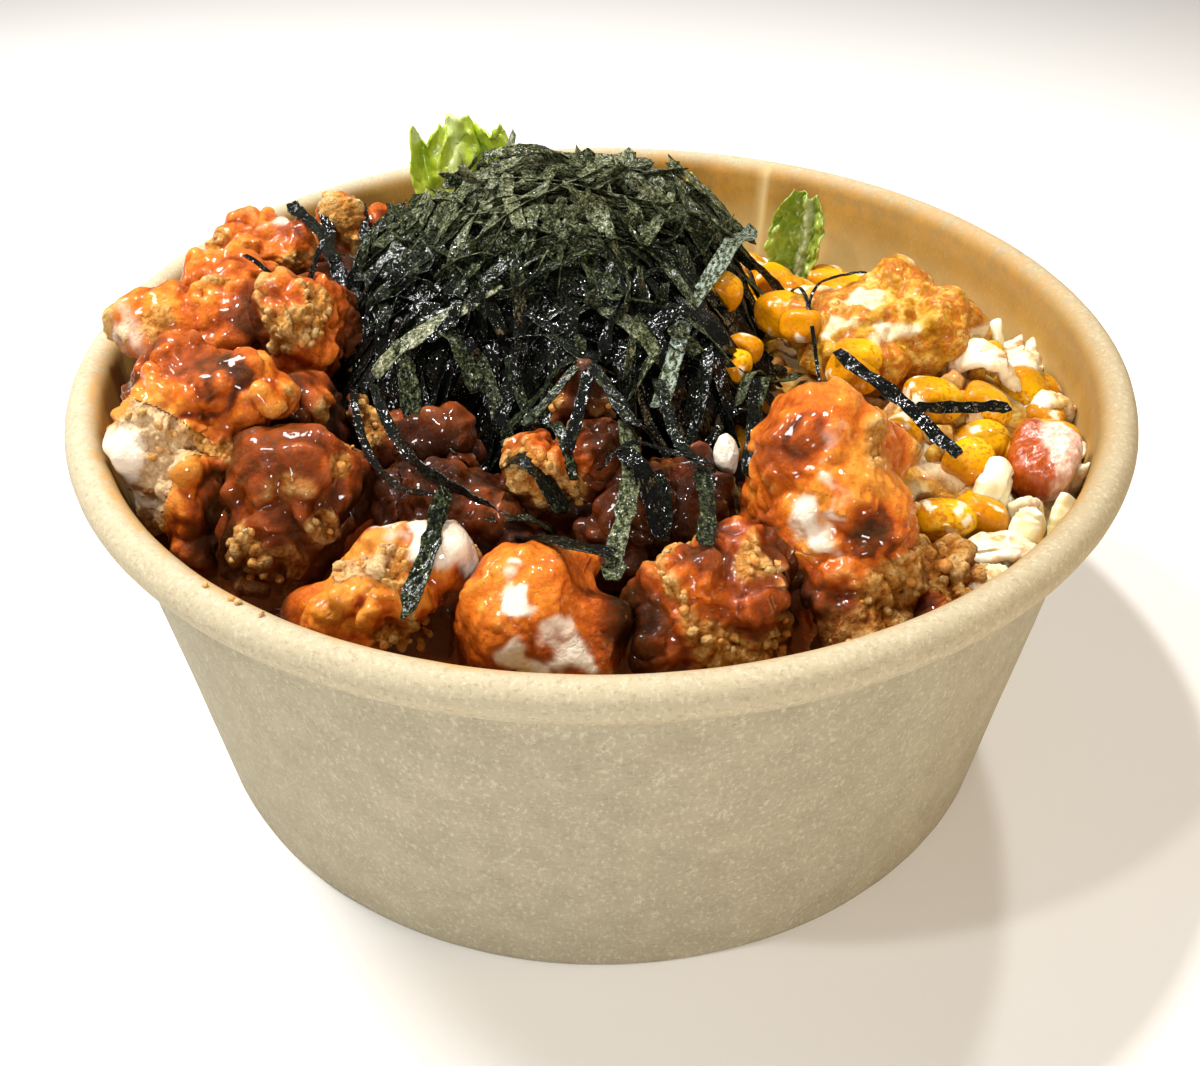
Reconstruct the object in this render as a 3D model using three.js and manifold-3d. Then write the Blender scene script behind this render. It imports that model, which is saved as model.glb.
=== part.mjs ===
// A bowl of spicy chicken rice: a round paper bowl with a rolled rim, a bed of rice, pieces
// of fried chicken, a heap of shredded seaweed, lettuce leaves and a corn salad.
// Millimetres, +Z up. The origin is the middle of the bowl's underside, and -Y is the front.
import * as THREE from 'three';
import { mergeVertices } from 'three/addons/utils/BufferGeometryUtils.js';
import Module from 'manifold-3d';

const wasm = await Module();
wasm.setup();

// The bowl
const RIM_RADIUS = 75;
const BOWL_HEIGHT = 61;
const BASE_RADIUS = 64.5;
const PAPER = 0.6;
const SKIRT_HEIGHT = 5;
const SKIRT_WIDTH = 1.8;
const BEAD_WIDTH = 5.0;
const BEAD_HEIGHT = 5.4;
const BEAD_STEPS = 8;
const BOWL_SIDES = 48;

// The room that the food may fill: a floor, a leaning wall with its radius at height 0 and at the
// shoulder's foot, and a rounded shoulder inside the bead, all a little way off the paper
const GAP = 0.35;
const ROOM_FLOOR = 6.25;
const ROOM_WALL = [63.25, 68.95];
const ROOM_WALL_TOP = 55;
const SHOULDER_MIDDLE = [72.15, 58];
const SHOULDER_HALF = [3.2, 3.35];
const ROOM_TOP = 110;

// The rice
const PILE_SEED = 80;
const PILE_WAVES = 6;
const PILE_PULL = 0.4;
const PILE_RINGS = [1, 0.76, 0.52, 0.28, 0];
const GRAIN_SEED = 90;
const GRAIN_RISE = 0.5;
const RICE_TOP = 46;
const RICE_DROP_AT_WALL = 5;
const RICE_ROUGHNESS = 0.7;
const PILE_SIDES = 22;
const PILE_TURN = 0.05;
const GRAIN_HALF = [2.9, 1.15, 1.05];
const GRAIN_COUNT = 22;
const GRAIN_TRIES = 900;
const GRAIN_SPREAD = 3.5;
const GRAIN_REACH = 3.4;
const GRAIN_WALL_GAP = 2.15;

// Lumps of chicken and salad: the lower half of a lobe is deeper, so that it beds in
const LOWER_DEPTH = 1.35;
const WAVE_COUNT = 5;
const WAVE_SIZE = 0.035;
const WAVE_PITCH = 11;
const BLEND_POWER = 10;
const BIG_LUMP = 600;
const SMALL_LUMP = 90;

// Seaweed
const HEAP_SEED = 70;
const HEAP_STRIP_SEED = 71;
const HEAP_MIDDLE = [-6, 9];
const HEADING_START = 1;
const HEADING_RANGE = 1.2;
const SHORTEST_STRIP = 20;
const STRIP_LENGTH_RANGE = 14;
const GREATEST_BOW = 4;
const STRIP_WIDTH = 2.4;
const STRIP_THICKNESS = 0.5;
const STRIP_STEPS = 6;
const STRIP_RISE = 3;
const HEAP_STRIPS = 11;
const HEAP_RADIUS = 24;
const GOLDEN_ANGLE = Math.PI * (3 - Math.sqrt(5));
const STRIP_SINK = 0.3;
const TIGHTENING = 40;

// Corn kernels: the seed is the first kernel's, and the lean is in radians
const KERNEL_SEED = 200;
const KERNEL_HALF = [4.5, 3.5, 2.7];
const KERNEL_RISE = 1.4;
const KERNEL_LEAN = 1.1;
const KERNEL_TAPER = 0.28;

// Cabbage shreds: a curl has a height, and the pitch of its wave
const CABBAGE_THICKNESS = 1.3;
const SHRED_LENGTH = 10;
const SHRED_WIDTH = 6;
const SHRED_RISE = 1.2;
const SHRED_TURN = [0.35, -0.3];
const LONG_CURL = [1.4, 4];
const CROSS_CURL = [0.8, 3];
const CURL_STEP = 1.7;

// Lettuce: each wave has a height and then its pitch along u and v
const LETTUCE_THICKNESS = 0.7;
const LETTUCE_SEED = 60;
const LEAF_FOOT = 0.55;
const LEAF_SWELL = [0.45, 0.15, 0.75];
const LEAF_RUFFLE = [1.5, 14];
const LEAF_RIPPLE = [0.8, 5, 8];
const LEAF_CUPPING = 20;
const LEAF_TEAR = [2, 8];

// The crab stick and the dressed chunk
const CRAB_MIDDLE = [58.6, -25.6, 55.4];
const CRAB_HALF = [4.6, 5.4, 4];
const CRAB_TILT = [0.25, -0.2, -0.35];
const CRAB_SQUARENESS = 0.6;
const CHUNK_SEED = 40;
const MOUND_SEED = 50;

const PAPER_ROUGHNESS = 0.85;
const FOOD_ROUGHNESS = 0.5;

const COLOUR = {
  paper: 0xb9a57c,
  rice: 0xe9e0c6,
  glazed: 0x8f3413,
  orange: 0xc65a1b,
  golden: 0xc98a3c,
  mayonnaise: 0xf1e6dc,
  seaweed: 0x20261d,
  lettuce: 0x7fa52f,
  salad: 0xe6b544,
  crab: 0xe0744d,
};

// Each lobe is [middle], [half sizes], [turn about Z, tilt up, in degrees].
const CHICKEN = {
  chicken_tan_left: { colour: COLOUR.golden, lobes: [
    [[-59.6, -25, 56], [6.4, 8.2, 9.6], [0, 0]],
    [[-55.5, -24, 60], [8, 7.6, 7], [0, 0]],
    [[-52, -34, 54.5], [4.8, 4.6, 6.2], [0, 0]],
    [[-48, -29.5, 58.5], [3.2, 3.2, 6.4], [0, 0]],
    [[-52.5, -21.5, 65.2], [9.2, 7.4, 4.6], [-8, 0]],
    [[-46.2, -23.5, 64], [5.4, 5.2, 5], [0, 0]],
  ] },
  chicken_upper_left: { colour: COLOUR.orange, lobes: [
    [[-60.5, -4.5, 63.5], [8.4, 6.6, 6.2], [-12, 0]],
    [[-52.5, -2, 65], [7.2, 7, 5.4], [0, 0]],
    [[-54.5, 7.5, 65], [7.4, 6.8, 5.8], [0, 0]],
    [[-61.2, 12.5, 64.5], [4.8, 4.6, 4.4], [0, 0]],
  ] },
  chicken_dark_left: { colour: COLOUR.glazed, lobes: [
    [[-39.8, -32, 55.5], [9.4, 8, 9], [0, 0]],
    [[-41.5, -37.8, 50.5], [8.2, 5.4, 5.6], [10, 0]],
    [[-33.5, -30, 52], [5, 5.6, 7], [0, 0]],
  ] },
  chicken_mid_left: { colour: COLOUR.glazed, lobes: [
    [[-40.8, -18.2, 60], [4, 4.2, 6], [0, 0]],
    [[-38.2, -15.5, 56], [3.6, 3.8, 5.4], [0, 0]],
  ] },
  chicken_upper_right: { colour: COLOUR.glazed, lobes: [
    [[-43.4, -4, 64], [6.6, 6.4, 7], [0, 0]],
    [[-38.2, 0.4, 65], [3.6, 3.8, 5.2], [0, 0]],
  ] },
  chicken_left_back: { colour: COLOUR.orange, lobes: [
    [[-55.6, 25.6, 62], [6.8, 6.2, 6], [20, 0]],
    [[-49.4, 23.4, 61.8], [4.8, 4.8, 5.2], [0, 0]],
  ] },
  chicken_inner_left: { colour: COLOUR.glazed, lobes: [
    [[-45.5, 12.5, 57], [6, 6.4, 7], [0, 0]],
    [[-42, 22, 56], [5.4, 6, 6], [0, 0]],
  ] },
  chicken_back_nub: { colour: COLOUR.orange, lobes: [
    [[-44, 38, 60.5], [4.4, 4.2, 5.4], [0, 0]],
    [[-38, 42.5, 59], [3.4, 3.4, 4.4], [0, 0]],
  ] },
  chicken_knob: { colour: COLOUR.golden, lobes: [
    [[-33.8, -15, 57.4], [3.1, 3.1, 3.3], [0, 0]],
    [[-29.5, -17, 54.5], [4.4, 4.2, 3.6], [0, 0]],
  ] },
  chicken_front_small: { colour: COLOUR.golden, lobes: [
    [[-25.6, -49.6, 54.6], [10.6, 5.4, 6.4], [32, 22]],
    [[-16.9, -47.6, 58.4], [2.2, 2.8, 5.4], [0, 0]],
    [[-21.6, -45.4, 60.4], [4, 2.6, 2.8], [25, 20]],
    [[-27.2, -45.8, 59.2], [3.9, 2.6, 2.5], [10, 10]],
    [[-30.3, -53.2, 52.2], [3.8, 3.2, 3.6], [0, 0]],
    [[-36.2, -49.8, 51.2], [3.6, 2.8, 3], [20, 30]],
  ] },
  chicken_front_centre: { colour: COLOUR.orange, lobes: [
    [[-9.2, -51.4, 52.8], [9, 8, 8.6], [0, 0]],
    [[-2.2, -46.8, 56], [4.6, 4, 3.6], [0, 0]],
    [[1.4, -54, 53], [3.8, 3.6, 4.4], [0, 0]],
    [[-3.6, -57.6, 49.8], [5.6, 4.6, 4.6], [0, 0]],
  ] },
  chicken_front_right: { colour: COLOUR.golden, lobes: [
    [[11.2, -50.4, 52], [8.2, 7.6, 6.6], [0, 0]],
    [[10.4, -52.4, 56], [3.8, 5.8, 4.6], [-12, 0]],
    [[6.8, -57.6, 51.4], [4.6, 4, 4.2], [0, 0]],
    [[16.4, -46, 56], [4.8, 4.6, 4.6], [0, 0]],
    [[18.2, -53.4, 51.4], [3.8, 4.6, 6], [0, 0]],
    [[21, -45, 50.5], [4.6, 5, 6], [0, 0]],
  ] },
  chicken_nugget: { colour: COLOUR.glazed, lobes: [
    [[6.4, -38.6, 58], [2.4, 2.4, 3.4], [0, 0]],
  ] },
  chicken_big_right: { colour: COLOUR.orange, lobes: [
    [[27.2, -37, 64], [7.8, 8.2, 8.4], [-20, 0]],
    [[28.6, -42.6, 59.6], [8.8, 7.2, 7], [-15, 0]],
    [[30, -48, 53.4], [8.4, 6.6, 7], [-15, 0]],
    [[36.2, -28.6, 61], [4.8, 6.6, 5.2], [-20, 0]],
    [[20.4, -37, 57.4], [3.4, 4.6, 7.6], [0, 0]],
    [[31.5, -54, 50], [5, 4.2, 5.2], [0, 0]],
  ] },
  mayonnaise_nub: { colour: COLOUR.mayonnaise, lobes: [
    [[16.2, -29.8, 59.6], [2.3, 2.6, 3.7], [0, 0]],
  ] },
  chicken_crumbs_right: { colour: COLOUR.golden, lobes: [
    [[41.4, -45.6, 51.6], [5, 4.2, 4.6], [-35, 0]],
    [[38, -51, 49.2], [4.2, 3, 3.6], [-35, 0]],
  ] },
  chicken_centre: { colour: COLOUR.golden, lobes: [
    [[-8.4, -30.2, 57.8], [4.9, 4.8, 5.6], [0, 0]],
    [[-1.6, -28.6, 58.8], [5.2, 5, 5.4], [0, 0]],
  ] },
  chicken_under_left: { colour: COLOUR.glazed, lobes: [
    [[-19, -34, 52.5], [8.4, 7.4, 7], [-10, 0]],
    [[-27, -29.5, 51], [6.4, 6.4, 6], [0, 0]],
    [[-11, -38, 51], [6.4, 5.4, 6.2], [0, 0]],
  ] },
  chicken_under_right: { colour: COLOUR.glazed, lobes: [
    [[8.6, -33, 52], [9, 7.4, 7], [12, 0]],
    [[1, -38, 51], [6, 4.6, 6], [0, 0]],
  ] },
  chicken_centre_back: { colour: COLOUR.orange, lobes: [
    [[-2.6, -20.5, 63], [3.8, 4, 4.2], [0, 0]],
  ] },
  chicken_centre_left: { colour: COLOUR.golden, lobes: [
    [[-22, -24.5, 57], [4.2, 4.2, 5], [0, 0]],
  ] },
};

const DRESSED_CHUNK = [
  [[42, 3, 59.5], [13, 8.6, 6.6], [-14, 0]],
  [[44.8, 8.6, 62.8], [6, 5.2, 5.2], [0, 0]],
  [[50.5, 1, 60.5], [6.8, 7, 5.8], [0, 0]],
  [[31.5, 6.4, 60.4], [6.2, 5.4, 4.6], [-10, 0]],
  [[37.4, -3.4, 57.6], [7, 5, 4.4], [-20, 0]],
];

// The mounds under the salad and under the seaweed, as lobes
const SALAD_MOUND = [
  [[43, -5, 44], [25, 42, 11.5], [4, 0]],
];
const SEAWEED_MOUND = [
  [[-14, 18, 60], [18, 17, 18], [0, 0]],
  [[8.5, 20, 60], [16, 16, 17.5], [0, 0]],
  [[-5, 5, 61], [17, 17, 16], [0, 0]],
  [[-20.5, -5, 57], [14, 14, 12], [0, 0]],
  [[9.5, -5, 57], [14, 14.5, 11.5], [0, 0]],
  [[-29, 17, 57], [12, 18, 12], [0, 0]],
];

// Single strips from one end to the other, with a bow to one side
const LOOSE_STRIPS = [
  { from: [24.5, 19, 66.5], to: [7.5, -25, 63.5], bow: -2 },
  { from: [3.7, -29.5, 63], to: [0.3, -55, 60], bow: 1.2 },
  { from: [-18.8, -43.5, 64.2], to: [-22.3, -58.6, 58], bow: 0.8 },
  { from: [-30.4, -17.6, 62.5], to: [-9.7, -45.4, 61], bow: -4 },
  { from: [31.5, -14.5, 65.5], to: [45, -30.5, 59.5], bow: 1.5 },
  { from: [41.5, -21, 61.5], to: [54.5, -19, 60], bow: -0.8 },
  { from: [-50.5, 30, 68], to: [-40.2, 8.5, 68.5], bow: 2 },
  { from: [12.2, -35.5, 61.5], to: [11.8, -51, 60], bow: 0.6 },
];

// The leaves against the back wall: turn and lean are in degrees
const LEAVES = [
  { middle: [-24.5, 52, 60], width: 19, height: 24, turn: 14, lean: 24 },
  { middle: [-7, 55.5, 53.5], width: 20, height: 18, turn: 4, lean: 22 },
  { middle: [9.5, 55, 52.5], width: 17, height: 16, turn: -6, lean: 20 },
  { middle: [36.2, 46.2, 53], width: 11, height: 18, turn: -32, lean: 12 },
];

// Middles of the kernels and shreds that show on the salad, as [x, y, turn]
const KERNELS = [
  [40.8, 17.6, 80], [31.6, 16.4, 10], [24.8, 20.6, 60], [57.4, 13.2, 20], [45.6, -15.6, 5],
  [53.6, -13.4, -20], [48.6, -26.4, 50], [44, -34.6, -30], [63.4, -15.6, 75], [50.4, 24, 30],
  [27, 29, -15], [38.2, 30.6, 15],
];
const SHREDS = [
  [63.2, 1.6, 70], [65, -8, 20], [53.6, -38.4, 10], [60, -35.4, 80], [34.4, 23.6, 35],
  [56, -5.6, -15],
];

/** A seeded stream of numbers from 0 to 1. */
function seeded(seed) {
  let state = seed >>> 0;
  return () => {
    state = (state + 0x6d2b79f5) >>> 0;
    let mixed = Math.imul(state ^ (state >>> 15), state | 1);
    mixed ^= mixed + Math.imul(mixed ^ (mixed >>> 7), mixed | 61);
    return ((mixed ^ (mixed >>> 14)) >>> 0) / 4294967296;
  };
}

/** A closed three.js geometry as a solid that can be joined and cut, without empty triangles. */
function solidOf(geometry) {
  const bare = geometry.clone();
  bare.deleteAttribute('normal');
  bare.deleteAttribute('uv');
  const merged = mergeVertices(bare);
  const corners = merged.index.array;
  const triangles = [];
  for (let index = 0; index < corners.length; index += 3) {
    const [a, b, c] = [corners[index], corners[index + 1], corners[index + 2]];
    if (a !== b && b !== c && c !== a) triangles.push(a, b, c);
  }
  return new wasm.Manifold(new wasm.Mesh({
    numProp: 3,
    vertProperties: Float32Array.from(merged.attributes.position.array),
    triVerts: Uint32Array.from(triangles),
  }));
}

/** The surface of a solid as a three.js geometry. */
function geometryOf(solid) {
  const mesh = solid.getMesh();
  const geometry = new THREE.BufferGeometry();
  geometry.setAttribute('position', new THREE.BufferAttribute(mesh.vertProperties, 3));
  geometry.setIndex(new THREE.BufferAttribute(mesh.triVerts, 1));
  geometry.computeVertexNormals();
  return geometry;
}

/** The largest of a solid's separate bodies, so that loose scraps drop out. */
function largestBody(solid) {
  const bodies = solid.decompose();
  return bodies.reduce((best, body) => (body.volume() > best.volume() ? body : best));
}

/** One solid from several. */
function joined(solids) {
  return solids.reduce((whole, solid) => whole.add(solid));
}

/** Moves every vertex of a geometry by a function of the point. */
function reshape(geometry, move) {
  const position = geometry.attributes.position;
  const point = new THREE.Vector3();
  for (let index = 0; index < position.count; index += 1) {
    point.fromBufferAttribute(position, index);
    move(point);
    position.setXYZ(index, point.x, point.y, point.z);
  }
  return geometry;
}

/** A profile of [radius, height] points turned about the Z axis. */
function turned(profile, sides) {
  const points = profile.map(([radius, height]) => new THREE.Vector2(radius, height));
  return new THREE.LatheGeometry(points, sides).rotateX(Math.PI / 2);
}

/** The outer radius of the bowl's straight wall at a height. */
function outerWall(height) {
  const wallTop = BOWL_HEIGHT - BEAD_HEIGHT;
  const topRadius = RIM_RADIUS - BEAD_WIDTH + PAPER;
  return BASE_RADIUS + (topRadius - BASE_RADIUS) * (height / wallTop);
}

/** The radius of the food's room at a height. */
function roomWall(height) {
  return ROOM_WALL[0] + (ROOM_WALL[1] - ROOM_WALL[0]) * (height / ROOM_WALL_TOP);
}

/** Points of an oval from one angle to another, in degrees. */
function arc(middle, half, fromAngle, toAngle, steps) {
  return Array.from({ length: steps + 1 }, (_, step) => {
    const angle = THREE.MathUtils.degToRad(fromAngle + (toAngle - fromAngle) * (step / steps));
    return [middle[0] + Math.cos(angle) * half[0], middle[1] + Math.sin(angle) * half[1]];
  });
}

/** The paper bowl: a skirt, a raised floor, a straight flared wall and a rolled rim. */
function bowlSolid() {
  const floor = SKIRT_HEIGHT + PAPER;
  const half = [BEAD_WIDTH / 2, BEAD_HEIGHT / 2];
  return solidOf(turned([
    [0, SKIRT_HEIGHT],
    [BASE_RADIUS - SKIRT_WIDTH, SKIRT_HEIGHT],
    [BASE_RADIUS - SKIRT_WIDTH, 0],
    [BASE_RADIUS, 0],
    ...arc([RIM_RADIUS - half[0], BOWL_HEIGHT - half[1]], half, -128, 180, BEAD_STEPS),
    [outerWall(floor) - PAPER, floor],
    [0, floor],
  ], BOWL_SIDES));
}

/** The space inside the bowl and above it, clear of the paper all round. */
function roomSolid() {
  return solidOf(turned([
    [0, ROOM_FLOOR],
    [roomWall(ROOM_FLOOR), ROOM_FLOOR],
    ...arc(SHOULDER_MIDDLE, SHOULDER_HALF, 180, 90, 3),
    [SHOULDER_MIDDLE[0], ROOM_TOP],
    [0, ROOM_TOP],
  ], BOWL_SIDES));
}

/** A ball of triangles of radius 1. */
function unitBall(detail) {
  return new THREE.IcosahedronGeometry(1, detail);
}

/** Seeded waves that make a lump uneven: a direction with its pitch, and a start. */
function wavesFrom(random) {
  return Array.from({ length: WAVE_COUNT }, () => ({
    pull: new THREE.Vector3(random() - 0.5, random() - 0.5, random() - 0.5)
      .multiplyScalar(WAVE_PITCH),
    start: random() * Math.PI * 2,
  }));
}

/** How far out of round a lump is in one direction, as a factor near 1. */
function unevenness(waves, direction) {
  return waves.reduce((sum, wave) => (
    sum + WAVE_SIZE * Math.sin(wave.pull.dot(direction) + wave.start)), 1);
}

/** A lobe with the turn that brings a point into its own axes. */
function readLobe([middle, half, [turn, tilt]]) {
  const euler = new THREE.Euler(
    0, -THREE.MathUtils.degToRad(tilt), THREE.MathUtils.degToRad(turn), 'ZYX');
  return {
    middle: new THREE.Vector3(...middle),
    half: new THREE.Vector3(...half),
    unturn: new THREE.Quaternion().setFromEuler(euler).invert(),
  };
}

/** How far a ray from a lump's heart runs before it leaves a lobe, or 0 if it misses. */
function reach({ middle, half, unturn }, heart, direction) {
  const from = heart.clone().sub(middle).applyQuaternion(unturn).divide(half);
  const along = direction.clone().applyQuaternion(unturn).divide(half);
  const a = along.lengthSq();
  const b = from.dot(along);
  const root = b * b - a * (from.lengthSq() - 1);
  return root > 0 ? Math.max((Math.sqrt(root) - b) / a, 0) : 0;
}

/**
 * A lump of food: from its heart, every direction goes out to the farthest of its lobes, with
 * a high power mean that rounds the creases. Waves make it uneven. A grown one is larger all
 * round and only cuts its neighbours clear.
 */
function lumpSolid(rows, seed, grow, detail) {
  const lobes = rows.map(readLobe);
  const waves = wavesFrom(seeded(seed));
  const volumes = lobes.map(({ half }) => half.x * half.y * half.z);
  const total = volumes.reduce((sum, volume) => sum + volume);
  const heart = new THREE.Vector3();
  lobes.forEach(({ middle }, index) => heart.addScaledVector(middle, volumes[index] / total));
  return solidOf(reshape(unitBall(detail), (point) => {
    const powers = lobes.map((lobe) => reach(lobe, heart, point) ** BLEND_POWER);
    const blended = powers.reduce((sum, power) => sum + power) ** (1 / BLEND_POWER);
    point.multiplyScalar(blended * unevenness(waves, point) + grow);
    if (point.z < 0) point.z *= LOWER_DEPTH;
    point.add(heart);
  }));
}

/** How finely a lump is divided: large ones have more faces. */
function detailFor(rows) {
  const size = rows.reduce((sum, [, half]) => sum + half[0] * half[1] * half[2], 0);
  if (size > BIG_LUMP) return 3;
  return size > SMALL_LUMP ? 2 : 1;
}

/** A sheet of even thickness whose middle face is a function of u and v from 0 to 1. */
function sheetSolid(across, along, thickness, place) {
  const plane = new THREE.PlaneGeometry(1, 1, across, along);
  const flat = plane.attributes.position;
  const faces = plane.index.array;
  const step = 1e-3;
  const upper = [];
  const lower = [];
  for (let index = 0; index < flat.count; index += 1) {
    const u = flat.getX(index) + 0.5;
    const v = flat.getY(index) + 0.5;
    const middle = place(u, v);
    const sideways = place(u + step, v).sub(middle);
    const forwards = place(u, v + step).sub(middle);
    const offset = sideways.cross(forwards).setLength(thickness / 2);
    upper.push(...middle.clone().add(offset).toArray());
    lower.push(...middle.clone().sub(offset).toArray());
  }
  const triangles = [];
  const edges = new Set();
  for (let index = 0; index < faces.length; index += 3) {
    const [a, b, c] = [faces[index], faces[index + 1], faces[index + 2]];
    triangles.push(a, b, c, a + flat.count, c + flat.count, b + flat.count);
    for (const [from, to] of [[a, b], [b, c], [c, a]]) {
      if (!edges.delete(`${to},${from}`)) edges.add(`${from},${to}`);
    }
  }
  for (const edge of edges) {
    const [from, to] = edge.split(',').map(Number);
    triangles.push(to, from, from + flat.count, to, from + flat.count, to + flat.count);
  }
  const geometry = new THREE.BufferGeometry();
  const points = new Float32Array([...upper, ...lower]);
  geometry.setAttribute('position', new THREE.BufferAttribute(points, 3));
  geometry.setIndex(triangles);
  return solidOf(geometry);
}

/** Finds the highest point of some geometries under a place, or the floor's height. */
function surveyor(geometries, floor) {
  const meshes = geometries.map((geometry) => new THREE.Mesh(geometry));
  const ray = new THREE.Raycaster();
  const down = new THREE.Vector3(0, 0, -1);
  return (x, y) => {
    ray.set(new THREE.Vector3(x, y, ROOM_TOP), down);
    const hits = ray.intersectObjects(meshes, false);
    return hits.length ? hits[0].point.z : floor;
  };
}

/**
 * The middle line of a strip from one point to another, bowed sideways, that clears whatever
 * lies below it, and the strip's sideways direction at each point.
 */
function stripPath({ from, to, bow }, below) {
  const run = new THREE.Vector3(to[0] - from[0], to[1] - from[1], 0);
  const length = run.length();
  const across = new THREE.Vector3(-run.y, run.x, 0).divideScalar(length);
  const path = Array.from({ length: STRIP_STEPS + 1 }, (_, step) => {
    const share = step / STRIP_STEPS;
    const point = new THREE.Vector3(...from).lerp(new THREE.Vector3(...to), share)
      .addScaledVector(across, bow * Math.sin(Math.PI * share));
    const swing = (bow * Math.PI / length) * Math.cos(Math.PI * share);
    const side = across.clone().addScaledVector(run, -swing / length).normalize();
    const heights = [-0.5, 0, 0.5].map((edge) => (
      below(point.x + side.x * STRIP_WIDTH * edge, point.y + side.y * STRIP_WIDTH * edge)));
    point.z = Math.max(point.z, Math.max(...heights) + GAP + STRIP_THICKNESS / 2);
    return { point, side };
  });
  // A strip is too stiff to follow a dip, so it is drawn tight over the high places.
  for (let round = 0; round < TIGHTENING; round += 1) {
    for (let step = 1; step < STRIP_STEPS; step += 1) {
      const between = (path[step - 1].point.z + path[step + 1].point.z) / 2;
      path[step].point.z = Math.max(path[step].point.z, between);
    }
  }
  return path;
}

/** A flat strip along a path, grown all round by a margin. */
function stripSolid(path, margin) {
  const width = STRIP_WIDTH + 2 * margin;
  return sheetSolid(STRIP_STEPS, 1, STRIP_THICKNESS + 2 * margin, (u, v) => {
    const place = u * STRIP_STEPS;
    const before = Math.min(Math.floor(place), STRIP_STEPS - 1);
    const point = path[before].point.clone().lerp(path[before + 1].point, place - before);
    const side = path[before].side.clone().lerp(path[before + 1].side, place - before);
    return point.addScaledVector(side.normalize(), (v - 0.5) * width);
  });
}

const food = [];

/** Keeps a finished solid with its name and colour, and its grown form for cutting others. */
function keep(name, colour, solid, grown) {
  const body = largestBody(solid);
  food.push({ name, colour, solid: body, grown, geometry: geometryOf(body) });
}

/** A solid held inside a space and clear of every piece that is already kept. */
function fitted(solid, space) {
  return food.reduce((rest, piece) => rest.subtract(piece.grown), solid.intersect(space));
}

/** The pieces of chicken, each cut clear of those before it. */
function makeChicken(space) {
  Object.entries(CHICKEN).forEach(([name, { colour, lobes }], index) => {
    const detail = detailFor(lobes);
    const solid = fitted(lumpSolid(lobes, index + 1, 0, detail), space);
    keep(name, colour, solid, lumpSolid(lobes, index + 1, GAP, detail));
  });
}

/** The dressed chunk that lies on the salad. */
function makeChunk(space) {
  const chunk = (grow) => lumpSolid(DRESSED_CHUNK, CHUNK_SEED, grow, 3);
  keep('dressed_chunk', COLOUR.mayonnaise, fitted(chunk(0), space), chunk(GAP));
}

/** The crab stick: a blocky piece, square at its cut ends. */
function makeCrab(space) {
  const middle = new THREE.Vector3(...CRAB_MIDDLE);
  const tilting = new THREE.Euler(...CRAB_TILT);
  const block = (grow) => solidOf(reshape(unitBall(2), (point) => {
    point.set(...point.toArray().map((value, axis) => (
      Math.sign(value) * Math.abs(value) ** CRAB_SQUARENESS * (CRAB_HALF[axis] + grow))));
    point.applyEuler(tilting).add(middle);
  }));
  keep('crab_stick', COLOUR.crab, fitted(block(0), space), block(GAP));
}

/** The lettuce leaves that stand against the back wall. */
function makeLettuce(space) {
  LEAVES.forEach(({ middle, width, height, turn, lean }, index) => {
    const random = seeded(LETTUCE_SEED + index);
    const start = random() * Math.PI * 2;
    const turning = new THREE.Euler(
      THREE.MathUtils.degToRad(-lean), 0, THREE.MathUtils.degToRad(turn), 'ZYX');
    const leaf = (thickness) => sheetSolid(7, 4, thickness, (u, v) => {
      const [swell, swellStart, swellPitch] = LEAF_SWELL;
      const narrowing = LEAF_FOOT + swell * Math.sin(Math.PI * (swellStart + swellPitch * v));
      const across = (u - 0.5) * width * narrowing;
      const ruffle = LEAF_RUFFLE[0] * v * Math.sin(u * LEAF_RUFFLE[1] + start);
      const ripple = LEAF_RIPPLE[0] * Math.sin(v * LEAF_RIPPLE[2] + u * LEAF_RIPPLE[1]);
      const cupping = LEAF_CUPPING * (u - 0.5) ** 2;
      const tear = LEAF_TEAR[0] * v * Math.sin(u * LEAF_TEAR[1] + start);
      const point = new THREE.Vector3(
        across, ruffle + ripple - cupping, (v - 0.5) * height + tear);
      return point.applyEuler(turning).add(new THREE.Vector3(...middle));
    });
    const solid = fitted(leaf(LETTUCE_THICKNESS), space);
    keep(`lettuce_leaf_${index + 1}`, COLOUR.lettuce, solid, leaf(LETTUCE_THICKNESS + 2 * GAP));
  });
}

/** The pile of rice without its single grains, its top raised by a margin. */
function ricePile(margin) {
  const random = seeded(PILE_SEED);
  const waves = Array.from({ length: PILE_WAVES }, () => [
    (random() - 0.5) * PILE_PULL, (random() - 0.5) * PILE_PULL, random() * Math.PI * 2]);
  const rings = PILE_RINGS.map((share) => share * RIM_RADIUS);
  const profile = [[0, 0], [RIM_RADIUS, 0], ...rings.map((ring) => [ring, RICE_TOP])];
  return solidOf(reshape(turned(profile, PILE_SIDES).rotateZ(PILE_TURN), (point) => {
    if (point.z < RICE_TOP) return;
    const share = Math.hypot(point.x, point.y) / RIM_RADIUS;
    const bumps = waves.reduce((sum, [a, b, start]) => (
      sum + Math.sin(a * point.x + b * point.y + start)), 0);
    point.z += margin - RICE_DROP_AT_WALL * share ** 2 + RICE_ROUGHNESS * bumps / 2;
  }));
}

/** A grain of rice lying at a place. */
function grainSolid(at, turn) {
  return solidOf(reshape(new THREE.SphereGeometry(1, 5, 4), (point) => {
    point.set(point.y * GRAIN_HALF[0], point.x * GRAIN_HALF[1], point.z * GRAIN_HALF[2]);
    point.applyEuler(new THREE.Euler(0, 0, turn)).add(new THREE.Vector3(...at));
  }));
}

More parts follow.
